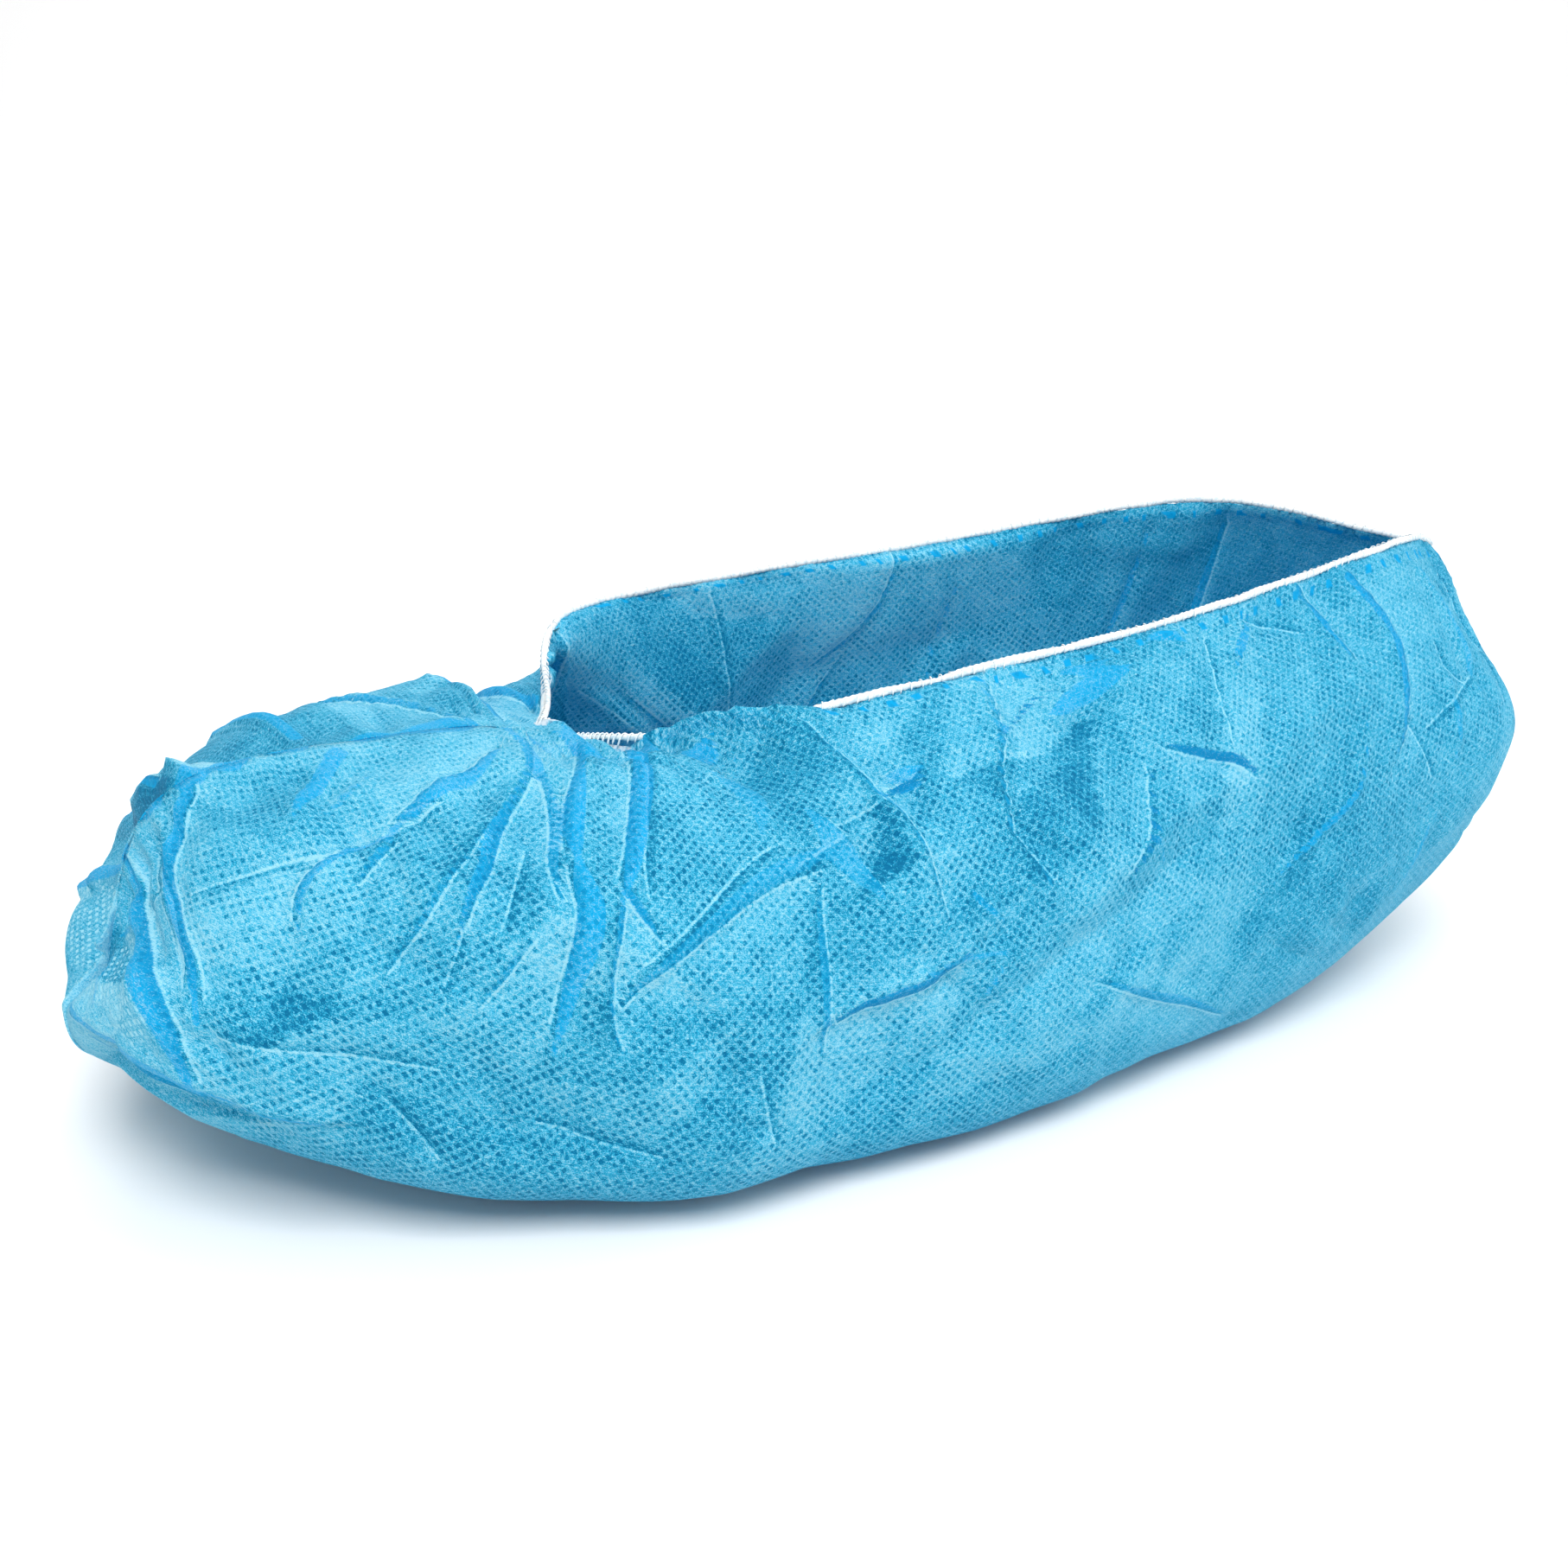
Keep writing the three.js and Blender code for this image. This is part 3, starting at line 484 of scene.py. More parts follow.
# The cloth is taut and smooth low on the heel and looser towards the toe and the edge.
slack = (0.4 + 0.6 * (1 - ease(station_at, 7.5, 11.5))) * (1 - 0.65 * ease(drop_at, 0.35, 0.6))
wide_lift, wide_facing = crumple(30, 2.9, 4)
small_lift, small_facing = crumple(14, 1.0, 9)
crumple_lift = slack * (wide_lift + small_lift)
# painted shading: each facet is made paler or darker by how far it leans towards the light
facet_shading = slack * (wide_facing + 0.7 * small_facing)

# The elastic draws the edge into small gathers, close together at the front of the opening.
NEAR_SLANT, FAR_SLANT = 5.5, 2.0
GATHERS_START = 5.2
GATHERS_PER_STATION = 4.4
GATHER_WIDTH = 6.8
slanted = station_at + np.where(side_at < 0, NEAR_SLANT, FAR_SLANT) * drop_at
past_front = np.maximum(slanted - GATHERS_START, 0)
gather_turns = GATHERS_PER_STATION * past_front + 2.6 * ease(past_front, 1.4, 3.0) * past_front
gather_turns = gather_turns + 0.2 * np.sin(4.3 * gather_turns)
gather_wave = np.sin(2 * math.pi * gather_turns)
gather_reach = 0.06 + 0.03 * np.sin(7.3 * past_front) ** 2
at_front = 1 - ease(past_front, 1.3, 2.0)
gathers = (0.3 + 0.9 * at_front) * gather_wave * np.exp(-(drop_at / gather_reach) ** 1.5)
gathers = gathers * ease(past_front, 0.0, 0.3)

# Painted shade in the gathers' valleys, close below the front of the opening.
from_valley = abs((gather_turns + 0.75) % 1 - 0.5) * GATHER_WIDTH
valley_size = 1.5 + 0.9 * np.sin(2.3 * np.floor(gather_turns - 0.25) + 1.0)
valley_shade = valley_size * np.exp(-((drop_at - 0.042) / 0.026) ** 2) - 0.35 - from_valley
valley_shade = np.where((at_front > 0.3) & (past_front > 0.15) & (side_at < 0), valley_shade, -FAR_OFF)
band_shade = np.where(valley_shade > inside_band, 0.9, band_shade)
inside_band = np.maximum(inside_band, valley_shade)

# Along the toe seam the outer side stands up over a gap, which is painted dark as shade. Its width in mm by
# station.
SEAM_GAP_SHADE = np.array([
    (0.0, -1), (1.1, 0), (1.2, 1.4), (1.4, 1.0), (1.6, -1), (1.9, -1), (2.1, 1.6), (2.35, 1.8), (2.5, -0.6),
    (2.7, 0.6), (2.9, 2.4), (3.05, 0.6), (3.25, 2.2), (3.45, -0.4), (3.6, 0.4), (3.8, 1.2), (3.9, -0.5),
    (4.15, -0.2), (4.25, 0.8), (4.6, 0.9), (4.8, 2.1), (5.0, 2.0), (5.2, 0.3), (5.4, -1), (14.0, -9),
])
gap = np.interp(station_at, *SEAM_GAP_SHADE.T) * np.where(side_at < 0, 0.5, 1.0) - drop_at * SEAM_DROP
band_shade = np.where(gap > inside_band, 1.0, band_shade)
inside_band = np.maximum(inside_band, gap)

# Both sides bulge a little over the toe seam, with small puckers across it.
before_front = ease(OPENING_FRONT - station_at, 0.1, 0.8) * ease(station_at, 0.2, 0.9)
from_seam = drop_at * SEAM_DROP
PUCKERS = 41
pucker_knots = np.linspace(0, OPENING_FRONT, PUCKERS)
pucker_near, pucker_far = (
    np.interp(station_at, pucker_knots, np.random.default_rng(seed).normal(0, 1, PUCKERS))
    for seed in (31, 32))
pucker = np.where(side_at < 0, 1.7 + 0.9 * pucker_near, 0.9 + 0.7 * pucker_far)
bulge = np.exp(-((from_seam - 4.0) / 3.0) ** 2) * pucker - 1.2 * np.exp(-((from_seam / 2.2) ** 2))

seam_calm = np.where(station_at < OPENING_FRONT, ease(from_seam, 0, 4), 1)
end_calm = ease(station_at, 0, 0.5) * ease(STERN - station_at, 0, 0.5)
sole_calm = 1 - ease(drop_at, 0.72, 0.92)
edge_calm = ease(drop_at, 0, 0.012)
lift = ((fold_lift + crumple_lift) * edge_calm + gathers) * seam_calm * end_calm * sole_calm
lift = lift + bulge * before_front
cloth = form + outward * lift[..., None]

# Behind the pleats the cloth rolls over the elastic and hides it.
ROLL_RISE, ROLL_OUT, ROLL_REACH = 2.6, 0.8, 0.03
rolled = ease(station_at, 6.52, 6.56) * (1 - ease(station_at, 7.0, 7.3)) * (side_at < 0)
roll = rolled * np.exp(-(drop_at / ROLL_REACH) ** 2)
cloth[..., 2] += ROLL_RISE * roll
cloth[..., 1] -= ROLL_OUT * roll
cloth[..., 2] = np.maximum(cloth[..., 2], 0)

# At the toe and the heel the outer side's closer columns end on the inner side's.
for row in (0, SHEET_ALONG):
    cloth[row, 1:NEAR_ACROSS:2] = cloth[row, 0:NEAR_ACROSS - 1:2]

# Place below the opening's edge, for the painted shade in the gaps between its stitches.
edge_run = run_lengths(form[:, 0])
edge_along = np.repeat(edge_run[:, None], SHEET_ACROSS + 1, axis=1)
edge_below = np.where(station_at > 7.2, drop_at * EDGE_DROP, FAR_OFF)

# White thread covers the cloth close below the front of the opening. The embossed points are darker,
# partly from their thinner cloth and partly as painted shade of the dim inside showing through, and
# fainter towards the heel; at two patches on the toe they carry a painted highlight instead.
THREAD_DEPTH = 2.4
thread_cover = ((1 - drop_at * EDGE_DROP / THREAD_DEPTH) * ease(station_at, 5.9, 6.0)
                * (1 - ease(station_at, 6.3, 6.6)))
toe_highlight_patches = (np.exp(-((station_at - 0.80) / 0.55) ** 2 - ((drop_at - 0.105) / 0.055) ** 2)
               + np.exp(-((station_at - 1.55) / 0.32) ** 2 - ((drop_at - 0.20) / 0.05) ** 2))
point_strength = 1.25 - 0.85 * (1 - ease(station_at, 1.6, 2.4)) - 0.35 * (1 - ease(drop_at, 0.04, 0.14))
point_strength = (point_strength * (1 - 0.5 * ease(station_at, 9.5, 12.0))
                  * (1 - 0.5 * ease(drop_at, 0.24, 0.4) * ease(station_at, 6.6, 8.0)))
noted = dict(band=inside_band, band_shade=band_shade, crease_offset=crease_offset,
             crease_reach=crease_reach, edge_along=edge_along,
             edge_below=np.minimum(edge_below, FAR_OFF), toe=toe_highlight_patches, facet=facet_shading,
             thread=thread_cover, point_strength=point_strength, crest=np.minimum(crest_highlight, 1.2))
SHEET_THICKNESS = 0.35
sheet_mesh = bmesh.new()
bmesh.ops.create_grid(sheet_mesh, x_segments=SHEET_ALONG, y_segments=SHEET_ACROSS, size=0.5)
layers = {name: sheet_mesh.verts.layers.float.new(name) for name in noted}
cloth_layer = sheet_mesh.loops.layers.uv.new("cloth")
cell_of = {}
for vert in sheet_mesh.verts:
    i, j = cell_of[vert.index] = grid_place(vert, SHEET_ALONG, SHEET_ACROSS)
    vert.co = cloth[i, j] * MM
    for name, layer in layers.items():
        vert[layer] = noted[name][i, j]
for face in sheet_mesh.faces:
    for loop in face.loops:
        i, j = cell_of[loop.vert.index]
        loop[cloth_layer].uv = (cloth_x[i, j] * MM, cloth_y[i, j] * MM)
bmesh.ops.remove_doubles(sheet_mesh, verts=sheet_mesh.verts, dist=0.00001)
bmesh.ops.recalc_face_normals(sheet_mesh, faces=sheet_mesh.faces)
lowest = min(sheet_mesh.faces, key=lambda face: face.calc_center_median().z)
if lowest.normal.z > 0:
    bmesh.ops.reverse_faces(sheet_mesh, faces=sheet_mesh.faces)
cover = finished("cover_cloth", sheet_mesh)
wall = cover.modifiers.new("cloth_thickness", "SOLIDIFY")
wall.thickness = SHEET_THICKNESS * MM
wall.offset = -1


class Value:
    """A shader socket that can be used in Python expressions."""

    def __init__(self, finish, socket):
        self.finish = finish
        self.socket = socket

    def maths(self, operation, first, second=0.0):
        return self.finish.node("ShaderNodeMath", {"operation": operation}, {0: first, 1: second})

    def __add__(self, other):
        return self.maths("ADD", self, other)

    def __sub__(self, other):
        return self.maths("SUBTRACT", self, other)

    def __mul__(self, other):
        return self.maths("MULTIPLY", self, other)

    def __truediv__(self, other):
        return self.maths("DIVIDE", self, other)

    def __radd__(self, other):
        return self.maths("ADD", other, self)

    def __rsub__(self, other):
        return self.maths("SUBTRACT", other, self)

    def __rmul__(self, other):
        return self.maths("MULTIPLY", other, self)

    def __abs__(self):
        return self.maths("ABSOLUTE", self)


class Finish:
    """A material and its nodes."""

    def __init__(self, name):
        self.material = bpy.data.materials.new(name)
        self.material.use_nodes = True
        self.tree = self.material.node_tree
        self.tree.nodes.clear()

    def node(self, kind, settings=None, sockets=None, out=0):
        made = self.tree.nodes.new(kind)
        for name, value in (settings or {}).items():
            setattr(made, name, value)
        for key, value in (sockets or {}).items():
            if isinstance(value, Value):
                self.tree.links.new(value.socket, made.inputs[key])
            else:
                made.inputs[key].default_value = value
        return Value(self, made.outputs[out]) if len(made.outputs) else None

    def blend(self, amount, first, second):
        """Mixes two colours."""
        return self.node("ShaderNodeMix", {"data_type": "RGBA"},
                         {"Factor": amount, 6: first, 7: second}, out=2)

    def span(self, value, low, high, from_low=0.0, to_high=1.0):
        """Smooth ramp from from_low at low to to_high at high."""
        return self.node("ShaderNodeMapRange", {"interpolation_type": "SMOOTHSTEP"},
                         {"Value": value, "From Min": low, "From Max": high,
                          "To Min": from_low, "To Max": to_high})

    def turned(self, vector, angle, scale):
        """Coordinates turned in the plane of the cloth and scaled."""
        return self.node("ShaderNodeMapping", {"vector_type": "POINT"},
                         {"Vector": vector, "Rotation": (0, 0, math.radians(angle)),
                          "Scale": scale})

    def noise(self, vector, scale, detail=2.0):
        return self.node("ShaderNodeTexNoise", {}, {"Vector": vector, "Scale": scale,
                                                    "Detail": detail, "Roughness": 0.55})


DOT_PITCH = 1.5
PALE_BLUE = (0.39, 0.82, 0.95, 1)
MID_BLUE = (0.02, 0.49, 0.75, 1)
DEEP_BLUE = (0.0, 0.17, 0.34, 1)
# FOLD_BLUE is the doubled cloth of the folds with painted shade in it; SHADE_BLUE is deeper painted shade
FOLD_BLUE = (0.0, 0.43, 0.82, 1)
SHADE_BLUE = (0.0, 0.27, 0.56, 1)
THREAD_WHITE = (0.84, 0.92, 0.96, 1)
THROUGH_BLUE = (0.02, 0.55, 0.85, 1)
THROUGH_SHARE = 0.25

nonwoven = Finish("nonwoven_fabric")
cloth_uv = nonwoven.node("ShaderNodeUVMap", {"uv_map": "cloth"})
in_mm = nonwoven.node("ShaderNodeVectorMath", {"operation": "SCALE"},
                      {0: cloth_uv, "Scale": 1000.0})

# embossed points, in rows at 45 degrees to the length, and the raised net between them
wander = nonwoven.node("ShaderNodeTexNoise", {}, {"Vector": in_mm, "Scale": 0.9, "Detail": 1.0}, out=1)
in_rows = nonwoven.turned(in_mm, 45, (1 / DOT_PITCH, 1 / DOT_PITCH, 1))
lattice = nonwoven.node("ShaderNodeVectorMath", {"operation": "MULTIPLY_ADD"},
                        {0: wander, 1: (0.3, 0.3, 0.0), 2: in_rows})
cell = nonwoven.node("ShaderNodeVectorMath", {"operation": "FRACTION"}, {0: lattice})
from_centre = nonwoven.node("ShaderNodeVectorMath", {"operation": "SUBTRACT"},
                            {0: cell, 1: (0.5, 0.5, 0.0)})
across_cell = abs(nonwoven.node("ShaderNodeSeparateXYZ", {}, {0: from_centre}, out=0))
down_cell = abs(nonwoven.node("ShaderNodeSeparateXYZ", {}, {0: from_centre}, out=1))
square = nonwoven.node("ShaderNodeMath", {"operation": "MAXIMUM"}, {0: across_cell, 1: down_cell})
cell_corner = nonwoven.node("ShaderNodeVectorMath", {"operation": "FLOOR"}, {0: lattice})
chance = nonwoven.node("ShaderNodeTexWhiteNoise", {"noise_dimensions": "2D"}, {"Vector": cell_corner})
point = nonwoven.span(square, 0.20, 0.30, 1.0, 0.0) * nonwoven.span(chance, 0.0, 0.8, 0.3, 1.0)
net = nonwoven.span(square, 0.36, 0.46)

# fine fibres that cross between the points, and thin and thick places in the web
web = abs(nonwoven.noise(in_mm, 1.5, 2.0) - 0.5)
fine_web = abs(nonwoven.noise(in_mm, 3.2, 1.0) - 0.5)
strands = abs(nonwoven.noise(nonwoven.turned(in_mm, 24, (0.35, 3.0, 1)), 1.0, 1.0) - 0.5)
fibres = (nonwoven.span(web, 0.0, 0.07, 1.0, 0.0) * 0.5 + nonwoven.span(fine_web, 0.0, 0.08, 1.0, 0.0) * 0.45
          + nonwoven.span(strands, 0.0, 0.06, 1.0, 0.0) * 0.35)
net = net * (0.1 + fibres * 1.1)
cloud = nonwoven.span(nonwoven.noise(in_mm, 0.13, 1.0), 0.3, 0.7)
wide_cloud = nonwoven.span(nonwoven.noise(in_mm, 0.03, 0.0), 0.3, 0.7)


def noted_on_cloth(name):
    return nonwoven.node("ShaderNodeAttribute", {"attribute_name": name}, out=2)


# band of doubled cloth with painted fold shade
band = noted_on_cloth("band")
fold = nonwoven.span(band, -0.1, 0.2)
# painted highlight along each marked crease, and painted shade on its side towards the band
offset = noted_on_cloth("crease_offset")
crease_near = nonwoven.span(noted_on_cloth("crease_reach"), 1.6, 2.3, 1.0, 0.0)
crease_highlight = nonwoven.span(abs(offset - 0.1), 0.12, 0.42, 1.0, 0.0) * crease_near
crease_shade = nonwoven.span(offset, -2.6, -0.2) * nonwoven.span(offset, -0.2, 0.1, 1.0, 0.0) * crease_near

# painted shade in the gaps between the stitches under the elastic
gap_turns = noted_on_cloth("edge_along") / 6.2 + nonwoven.noise(in_mm, 0.1, 1.0) * 1.5
gap_place = nonwoven.node("ShaderNodeMath", {"operation": "FRACT"}, {0: gap_turns})
stitch_gap_shade = (nonwoven.span(abs(gap_place - 0.5), 0.10, 0.16, 1.0, 0.0)
              * nonwoven.span(abs(noted_on_cloth("edge_below") - 1.5), 0.35, 0.6, 1.0, 0.0))

toe_point_highlight = nonwoven.span(noted_on_cloth("toe") + cloud * 0.3, 0.35, 0.75)
paleness = fibres * 0.66 + net * 0.12 + cloud * 0.07 + wide_cloud * 0.05 + 0.11
# painted shading of the facets
paleness = paleness + noted_on_cloth("facet") * 0.75
# points painted darker, partly as shade of the dim inside, and paler with painted highlights at the toe
# patches
paleness = paleness + point * (toe_point_highlight * 0.9 + noted_on_cloth("point_strength") * (cloud * 0.12 - 0.36))
# painted highlight on the cloth that lies over each fold, and on its points
crest = noted_on_cloth("crest")
paleness = paleness + crease_highlight * 0.34 - crease_shade * 0.2 + crest * 0.22 + point * crest * 0.15
paleness = nonwoven.node("ShaderNodeClamp", {}, {"Value": paleness})
sheet_colour = nonwoven.blend(nonwoven.span(paleness, 0.0, 0.42), DEEP_BLUE, MID_BLUE)
sheet_colour = nonwoven.blend(nonwoven.span(paleness, 0.3, 1.0), sheet_colour, PALE_BLUE)
# fold bands: doubled cloth with painted shade, deepened along creases, on the points and on painted shadow
# lines
fold = fold * noted_on_cloth("band_shade")
fold_depth = nonwoven.node("ShaderNodeClamp", {}, {"Value": fold * (1.08 - fibres * 0.75) + stitch_gap_shade})
shade_share = crease_shade * 0.6 + point * 0.45 + noted_on_cloth("band_shade") - 1.0
fold_colour = nonwoven.blend(shade_share, FOLD_BLUE, SHADE_BLUE)
sheet_colour = nonwoven.blend(fold_depth, sheet_colour, fold_colour)
thread_share = nonwoven.span(noted_on_cloth("thread") + nonwoven.noise(in_mm, 0.8, 2.0) * 0.8, 0.85, 1.1)
sheet_colour = nonwoven.blend(thread_share * 0.9, sheet_colour, THREAD_WHITE)

relief = fibres * 0.5 + net * 0.3 - point * 1.0 + fold * -0.8
bump = nonwoven.node("ShaderNodeBump", {}, {"Strength": 0.6, "Distance": 0.00018, "Height": relief})
surface = nonwoven.node("ShaderNodeBsdfPrincipled", {},
                        {"Base Color": sheet_colour, "Roughness": 0.68 - fibres * 0.16,
                         "Specular IOR Level": 0.12, "Normal": bump})
through = nonwoven.node("ShaderNodeBsdfTranslucent", {}, {"Color": THROUGH_BLUE})
cloth_shader = nonwoven.node("ShaderNodeMixShader", {}, {0: THROUGH_SHARE, 1: surface, 2: through})
nonwoven.node("ShaderNodeOutputMaterial", {}, {"Surface": cloth_shader})
cover.data.materials.append(nonwoven.material)
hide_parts("cover_sheet")
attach(cover, "root")

# The white edge is a stretched elastic thread, wrapped all round the opening together with the
# raw edge of the cloth by a close overlock stitch. It is a closed loop, slimmer at its front, and
# tucked in where the cloth rolls over it.
ELASTIC_RADIUS = 0.64
ELASTIC_RISE = 0.55
WRAP_PITCH = 1.5
TUCK_DOWN = 2.1
EDGE_STEPS = 240
there = np.linspace(OPENING_FRONT, STERN, EDGE_STEPS + 1)
loop_stations = np.concatenate([there[:-1], there[:0:-1]])
loop_sides = np.repeat([-1.0, 1.0], EDGE_STEPS)
edge_points = bag_form(loop_stations, 0 * loop_stations, loop_sides)
edge_points = np.vstack([edge_points, edge_points[:1]])
edge_lengths = run_lengths(edge_points)
edge_length = edge_lengths[-1]


def edge_at(distance):
    """Point on the opening's edge at a length from its front, and the way out of the bag."""
    point = np.array([np.interp(distance % edge_length, edge_lengths, edge_points[:, k])
                      for k in range(3)])
    ends = [np.array([np.interp((distance + d) % edge_length, edge_lengths, edge_points[:, k])
                      for k in range(3)]) for d in (-1.5, 1.5)]
    run = ends[1] - ends[0]
    run = run / np.linalg.norm(run)
    out = np.array([run[1], -run[0], 0.0])
    return point, run, out / np.linalg.norm(out)


STEPS_PER_WRAP = 6
ELASTIC_SIDES = 10
WOBBLES = 90
wraps = round(edge_length / WRAP_PITCH)
ELASTIC_STEPS = wraps * STEPS_PER_WRAP
elastic_mesh = bmesh.new()
bmesh.ops.create_grid(elastic_mesh, x_segments=ELASTIC_STEPS, y_segments=ELASTIC_SIDES, size=0.5)
rng = np.random.default_rng(21)
wobble = rng.normal(0, 1, (3, WOBBLES))
ring_frames = [edge_at(i / ELASTIC_STEPS * edge_length) for i in range(ELASTIC_STEPS)]
for vert in elastic_mesh.verts:
    i, j = grid_place(vert, ELASTIC_STEPS, ELASTIC_SIDES)
    i = i % ELASTIC_STEPS
    middle, run, out = ring_frames[i]
    distance = i / ELASTIC_STEPS * edge_length
    turn = i / STEPS_PER_WRAP
    angle = 2 * math.pi * (j % ELASTIC_SIDES) / ELASTIC_SIDES
    wrap = math.cos(2 * math.pi * turn - angle)
    k = turn / wraps * WOBBLES
    drift = [np.interp(k, np.arange(WOBBLES + 1), np.append(row, row[0])) for row in wobble]
    thinner = 1 - 0.3 * (1 - ease(np.array(min(distance, edge_length - distance)), 16.0, 40.0))
    tucked = TUCK_DOWN * ease(np.array(distance), 21.5, 24.5) * (1 - ease(np.array(distance), 46.0, 57.0))
    radius_here = ELASTIC_RADIUS * thinner * (1 + 0.10 * wrap + 0.14 * drift[0])
    up = np.array([0, 0, 1.0])
    place = (middle + out * (math.cos(angle) * radius_here * 0.9 + 0.15 * drift[1] - 0.8 * tucked)
             + up * (math.sin(angle) * radius_here * 1.15 + ELASTIC_RISE - tucked + 0.12 * drift[2]))
    vert.co = place * MM
bmesh.ops.remove_doubles(elastic_mesh, verts=elastic_mesh.verts, dist=0.000005)
bmesh.ops.recalc_face_normals(elastic_mesh, faces=elastic_mesh.faces)
elastic = finished("elastic_band", elastic_mesh)

white_thread = Finish("elastic_white")
spot = white_thread.node("ShaderNodeTexCoord", out=3)
fuzz = white_thread.noise(spot, 1500.0, 3.0)
soil = white_thread.noise(spot, 60.0, 2.0)
thread_colour = white_thread.blend(white_thread.span(soil, 0.35, 0.75), (0.93, 0.93, 0.90, 1),
                                   (0.80, 0.82, 0.82, 1))
thread_colour = white_thread.blend(white_thread.span(fuzz, 0.35, 0.6), (0.62, 0.74, 0.80, 1),
                                   thread_colour)
thread_bump = white_thread.node("ShaderNodeBump", {}, {"Strength": 0.6, "Distance": 0.0002,
                                                       "Height": fuzz})
thread_surface = white_thread.node("ShaderNodeBsdfPrincipled", {},
                                   {"Base Color": thread_colour, "Roughness": 0.7 + fuzz * 0.1,
                                    "Sheen Weight": 0.3, "Normal": thread_bump})
white_thread.node("ShaderNodeOutputMaterial", {}, {"Surface": thread_surface})
elastic.data.materials.append(white_thread.material)
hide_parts("elastic_edge")
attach(elastic, "root")

# Overlock stitches: short loops of thin white thread over the elastic, whose legs reach down the
# outside of the cloth. They stand closer together and reach lower at the front of the opening.
THREAD_RADIUS = 0.16
STITCH_STEPS = 9
STITCH_SIDES = 4
# millimetres from the front where the roll of cloth hides the stitches
UNDER_ROLL = (21, 54)
stitch_mesh = bmesh.new()
rng = np.random.default_rng(7)
distance = 0.5
while distance < edge_length:
    from_front = min(distance, edge_length - distance)
    front = 1 - ease(np.array(from_front), 12.0, 26.0)
    reach = 0.35 + 1.5 * front * rng.uniform(0.4, 1.3)
    middle, run, out = edge_at(distance)
    slant = rng.normal(0, 0.35) + 0.5
    if UNDER_ROLL[0] < distance < UNDER_ROLL[1]:
        distance += rng.uniform(2.1, 3.0)
        continue
    before = set(stitch_mesh.verts)
    bmesh.ops.create_grid(stitch_mesh, x_segments=STITCH_STEPS, y_segments=STITCH_SIDES, size=0.5)
    for vert in [v for v in stitch_mesh.verts if v not in before]:
        i, j = grid_place(vert, STITCH_STEPS, STITCH_SIDES)
        t = i / STITCH_STEPS
        swing = math.pi * (1.25 * t - 0.12)
        leg = max(0.0, 1 - t * 2.2)
        spine = (middle + out * (0.70 * math.cos(swing) + 0.15 * leg)
                 + np.array([0, 0, 1.0]) * (0.76 * math.sin(swing) + 0.55 - reach * leg**1.3)
                 + run * (slant * (t - 0.5) * 1.4))
        angle = 2 * math.pi * (j % STITCH_SIDES) / STITCH_SIDES
        thin = THREAD_RADIUS * (1 + 0.5 * front) * (0.5 if i in (0, STITCH_STEPS) else 1.0)
        vert.co = (spine + run * math.cos(angle) * thin
                   + np.cross(run, out) * math.sin(angle) * thin * 0.5
                   + out * math.sin(angle) * thin) * MM
    distance += rng.uniform(2.1, 3.0) * (1 - 0.6 * front)
bmesh.ops.remove_doubles(stitch_mesh, verts=stitch_mesh.verts, dist=0.000004)
stitches = finished("overlock_stitches", stitch_mesh, STITCH_SIDES)
stitches.data.materials.append(white_thread.material)
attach(stitches, "root")

# The toe seam is where the two top edges of the sheet are sewn together, from the front of the
# opening over the toe and down to the sole. Its trimmed allowance stands up as a low ruffled fin.
SEAM_HALF = 0.45
FIN_ROOT = 0.9
FIN_SIDES = 8
FIN_SWAY = 0.9


def seam_fin(name, line, heights, seed):
    """A thin fin of doubled cloth that stands out of the sheet along a line, in millimetres."""
    steps = len(line) - 1
    fin = bmesh.new()
    bmesh.ops.create_grid(fin, x_segments=steps, y_segments=FIN_SIDES, size=0.5)
    uv = fin.loops.layers.uv.new("cloth")
    lengths = run_lengths(line)
    heights_at = {}
    for vert in fin.verts:
        i, j = grid_place(vert, steps, FIN_SIDES)
        run = line[min(i + 1, steps)] - line[max(i - 1, 0)]
        out = np.cross([0, 1, 0], run)
        out = out / np.linalg.norm(out)
        angle = 2 * math.pi * (j % FIN_SIDES) / FIN_SIDES
        rise = (0.5 + 0.5 * math.sin(angle)) * (heights[i] + FIN_ROOT) - FIN_ROOT
        sway = FIN_SWAY * math.sin(lengths[i] / 3.1 + 0.7 * math.sin(lengths[i] / 5.3 + seed))
        slim = SEAM_HALF * math.cos(angle)
        heights_at[vert.index] = (lengths[i], rise)
        vert.co = (line[i] + out * (rise - 0.3) + np.array([0, 1.0, 0]) * (
            slim + sway * (rise / max(heights[i], 0.1)) * 0.8)) * MM
    for face in fin.faces:
        for loop in face.loops:
            x, y = heights_at[loop.vert.index]
            loop[uv].uv = (x * MM, y * MM)
    bmesh.ops.remove_doubles(fin, verts=fin.verts, dist=0.000005)
    piece = finished(name, fin, FIN_SIDES)
    # the fin carries none of the sheet's noted attributes, so its whole face gets the painted crease
    # highlight
    piece.data.materials.append(nonwoven.material)
    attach(piece, "root")
    return piece


ridge = np.linspace(5.8, 0, 150)
bow = np.linspace(0, 0.5, 60)[1:]
toe_line = np.vstack([bag_form(ridge, 0 * ridge, 0 * ridge - 1),
                      bag_form(0 * bow, bow, 0 * bow - 1)])
# height of the fin at drops down the toe: a small ear, a notch and a flap below it
TOE_FIN = [(0.0, 0.9), (0.02, 1.4), (0.038, 3.4), (0.050, 1.0), (0.065, 2.2), (0.11, 2.6), (0.16, 1.5),
           (0.20, 0.7), (0.5, 0.4)]
toe_heights = np.concatenate([0.9 + 0 * ridge, np.interp(bow, *zip(*TOE_FIN))])
toe_seam = seam_fin("toe_seam_fin", toe_line, toe_heights, 3)
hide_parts("toe_seam")

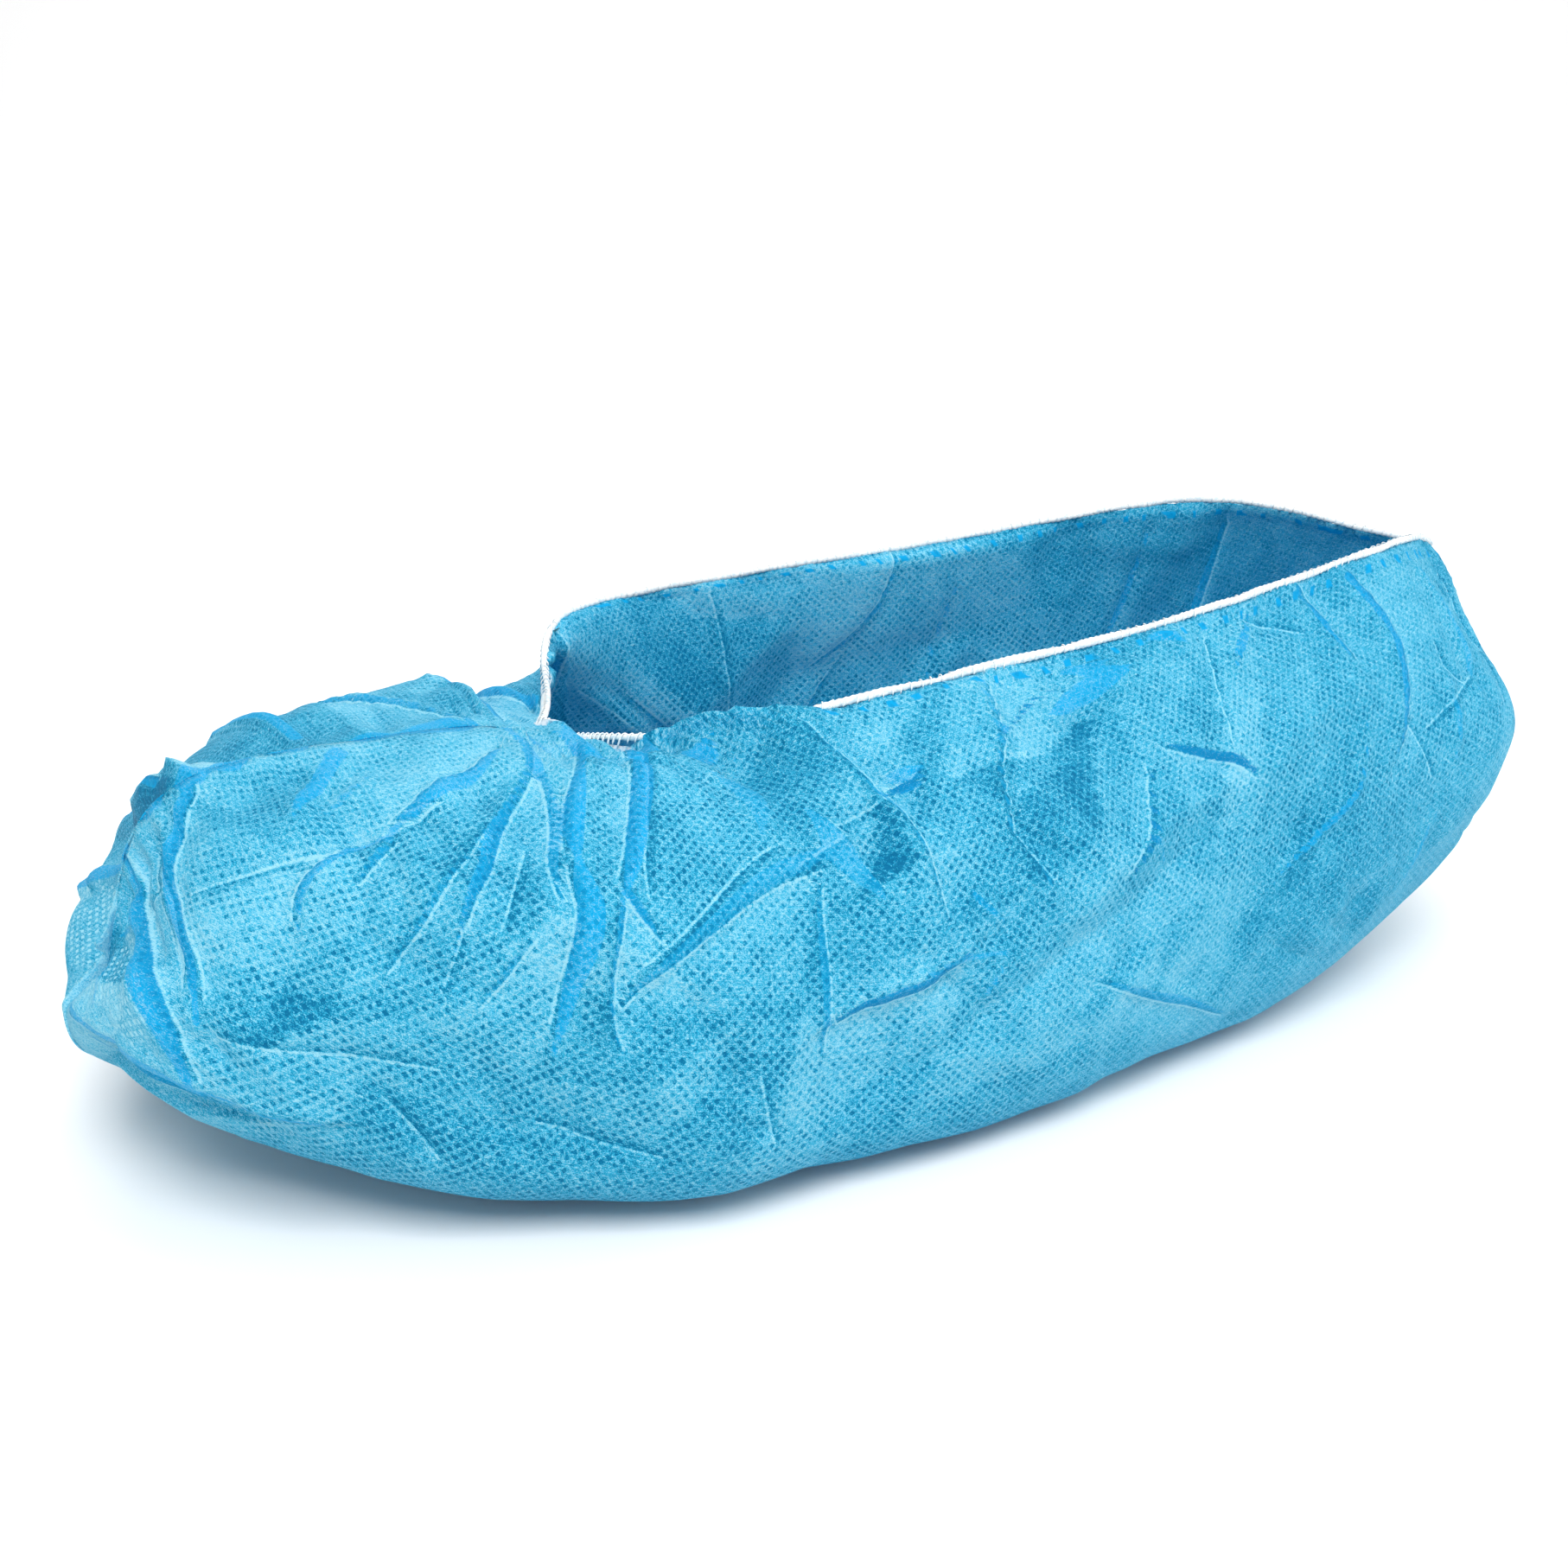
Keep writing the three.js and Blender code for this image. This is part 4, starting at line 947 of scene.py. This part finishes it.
# The heel seam closes the sheet at its back end, from the elastic edge down to the sole. It is
# sewn like the toe seam, with a lower fin.
stern = np.linspace(0.5, 0.03, 80)
heel_line = bag_form(0 * stern + STERN, stern, 0 * stern - 1)
heel_seam = seam_fin("heel_seam_fin", heel_line, 1.6 - 0.9 * (stern / 0.5) ** 2, 5)
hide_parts("heel_seam")

# A plain pale floor that rises behind the cover as a smooth backdrop.
FLOOR_WIDTH = 5
FLOOR_AHEAD = 1.6
FLOOR_TURN = -30
FLAT_SHARE, BEND_SHARE = 0.45, 0.2
BEND_RADIUS = 0.6
floor_mesh = bmesh.new()
bmesh.ops.create_grid(floor_mesh, x_segments=2, y_segments=60, size=0.5)
for vert in floor_mesh.verts:
    back = vert.co.y + 0.5  # 0 ahead of the cover, 1 at the top of the backdrop
    turn = min(max((back - FLAT_SHARE) / BEND_SHARE, 0), 1) * math.pi / 2
    reach = -FLOOR_AHEAD + min(back, FLAT_SHARE) * 5.5 + math.sin(turn) * BEND_RADIUS
    rise = (1 - math.cos(turn)) * BEND_RADIUS + max(back - FLAT_SHARE - BEND_SHARE, 0) * FLOOR_WIDTH
    vert.co = Vector((vert.co.x * FLOOR_WIDTH, reach, rise))
floor = finished("floor_sweep", floor_mesh)
floor.data.transform(Matrix.Rotation(math.radians(FLOOR_TURN), 4, "Z"))
paper = Finish("floor_paper")
paper_surface = paper.node("ShaderNodeBsdfPrincipled", {}, {"Base Color": (0.90, 0.90, 0.90, 1),
                                                           "Roughness": 0.9})
paper.node("ShaderNodeOutputMaterial", {}, {"Surface": paper_surface})
floor.data.materials.append(paper.material)

# The camera stands close to the cover, ahead of the toe and a little above it.
CAMERA_DISTANCE = 0.369
CAMERA_TARGET = Vector((-0.0245, 0.0027, 0.054))
azimuth, elevation, roll_angle = (math.radians(angle) for angle in (-32.7, 17.85, 2.7))
back = Vector((math.sin(azimuth) * math.cos(elevation), -math.cos(azimuth) * math.cos(elevation),
               math.sin(elevation)))
level = Vector((math.cos(azimuth), math.sin(azimuth), 0))
upright = back.cross(level)
right = level * math.cos(roll_angle) + upright * math.sin(roll_angle)
above = upright * math.cos(roll_angle) - level * math.sin(roll_angle)
camera_data = bpy.data.cameras.new("camera")
camera_data.lens = 41.2
camera_data.sensor_width = 36
camera_data.clip_start = 0.02
camera = bpy.data.objects.new("camera", camera_data)
camera.matrix_world = Matrix.Translation(CAMERA_TARGET + back * CAMERA_DISTANCE) @ Matrix(
    (right, above, back)).transposed().to_4x4()
bpy.context.collection.objects.link(camera)
bpy.context.scene.camera = camera

# Plain soft studio light: a softbox above the toe, weaker ones from the heel side and from
# behind, and a white surround.
LIT_POINT = Vector((0, 0, 0.05))
SURROUND = 0.55
for name, place, size, power in (("key", (-0.5, -0.75, 1.3), 0.8, 20), ("fill", (1.2, -0.6, 0.9), 1.2, 8),
                                 ("rear", (0.2, 0.9, 1.2), 1.2, 6)):
    light = bpy.data.lights.new(name, "AREA")
    light.size = size
    light.energy = power
    lamp = bpy.data.objects.new(name, light)
    lamp.location = place
    lamp.rotation_mode = "QUATERNION"
    lamp.rotation_quaternion = (Vector(place) - LIT_POINT).to_track_quat("Z", "Y")
    bpy.context.collection.objects.link(lamp)
world = bpy.data.worlds.new("studio")
world.use_nodes = True
surround = world.node_tree.nodes["Background"]
surround.inputs["Color"].default_value = (1, 1, 1, 1)
surround.inputs["Strength"].default_value = SURROUND
bpy.context.scene.world = world
bpy.context.scene.view_settings.view_transform = "Standard"
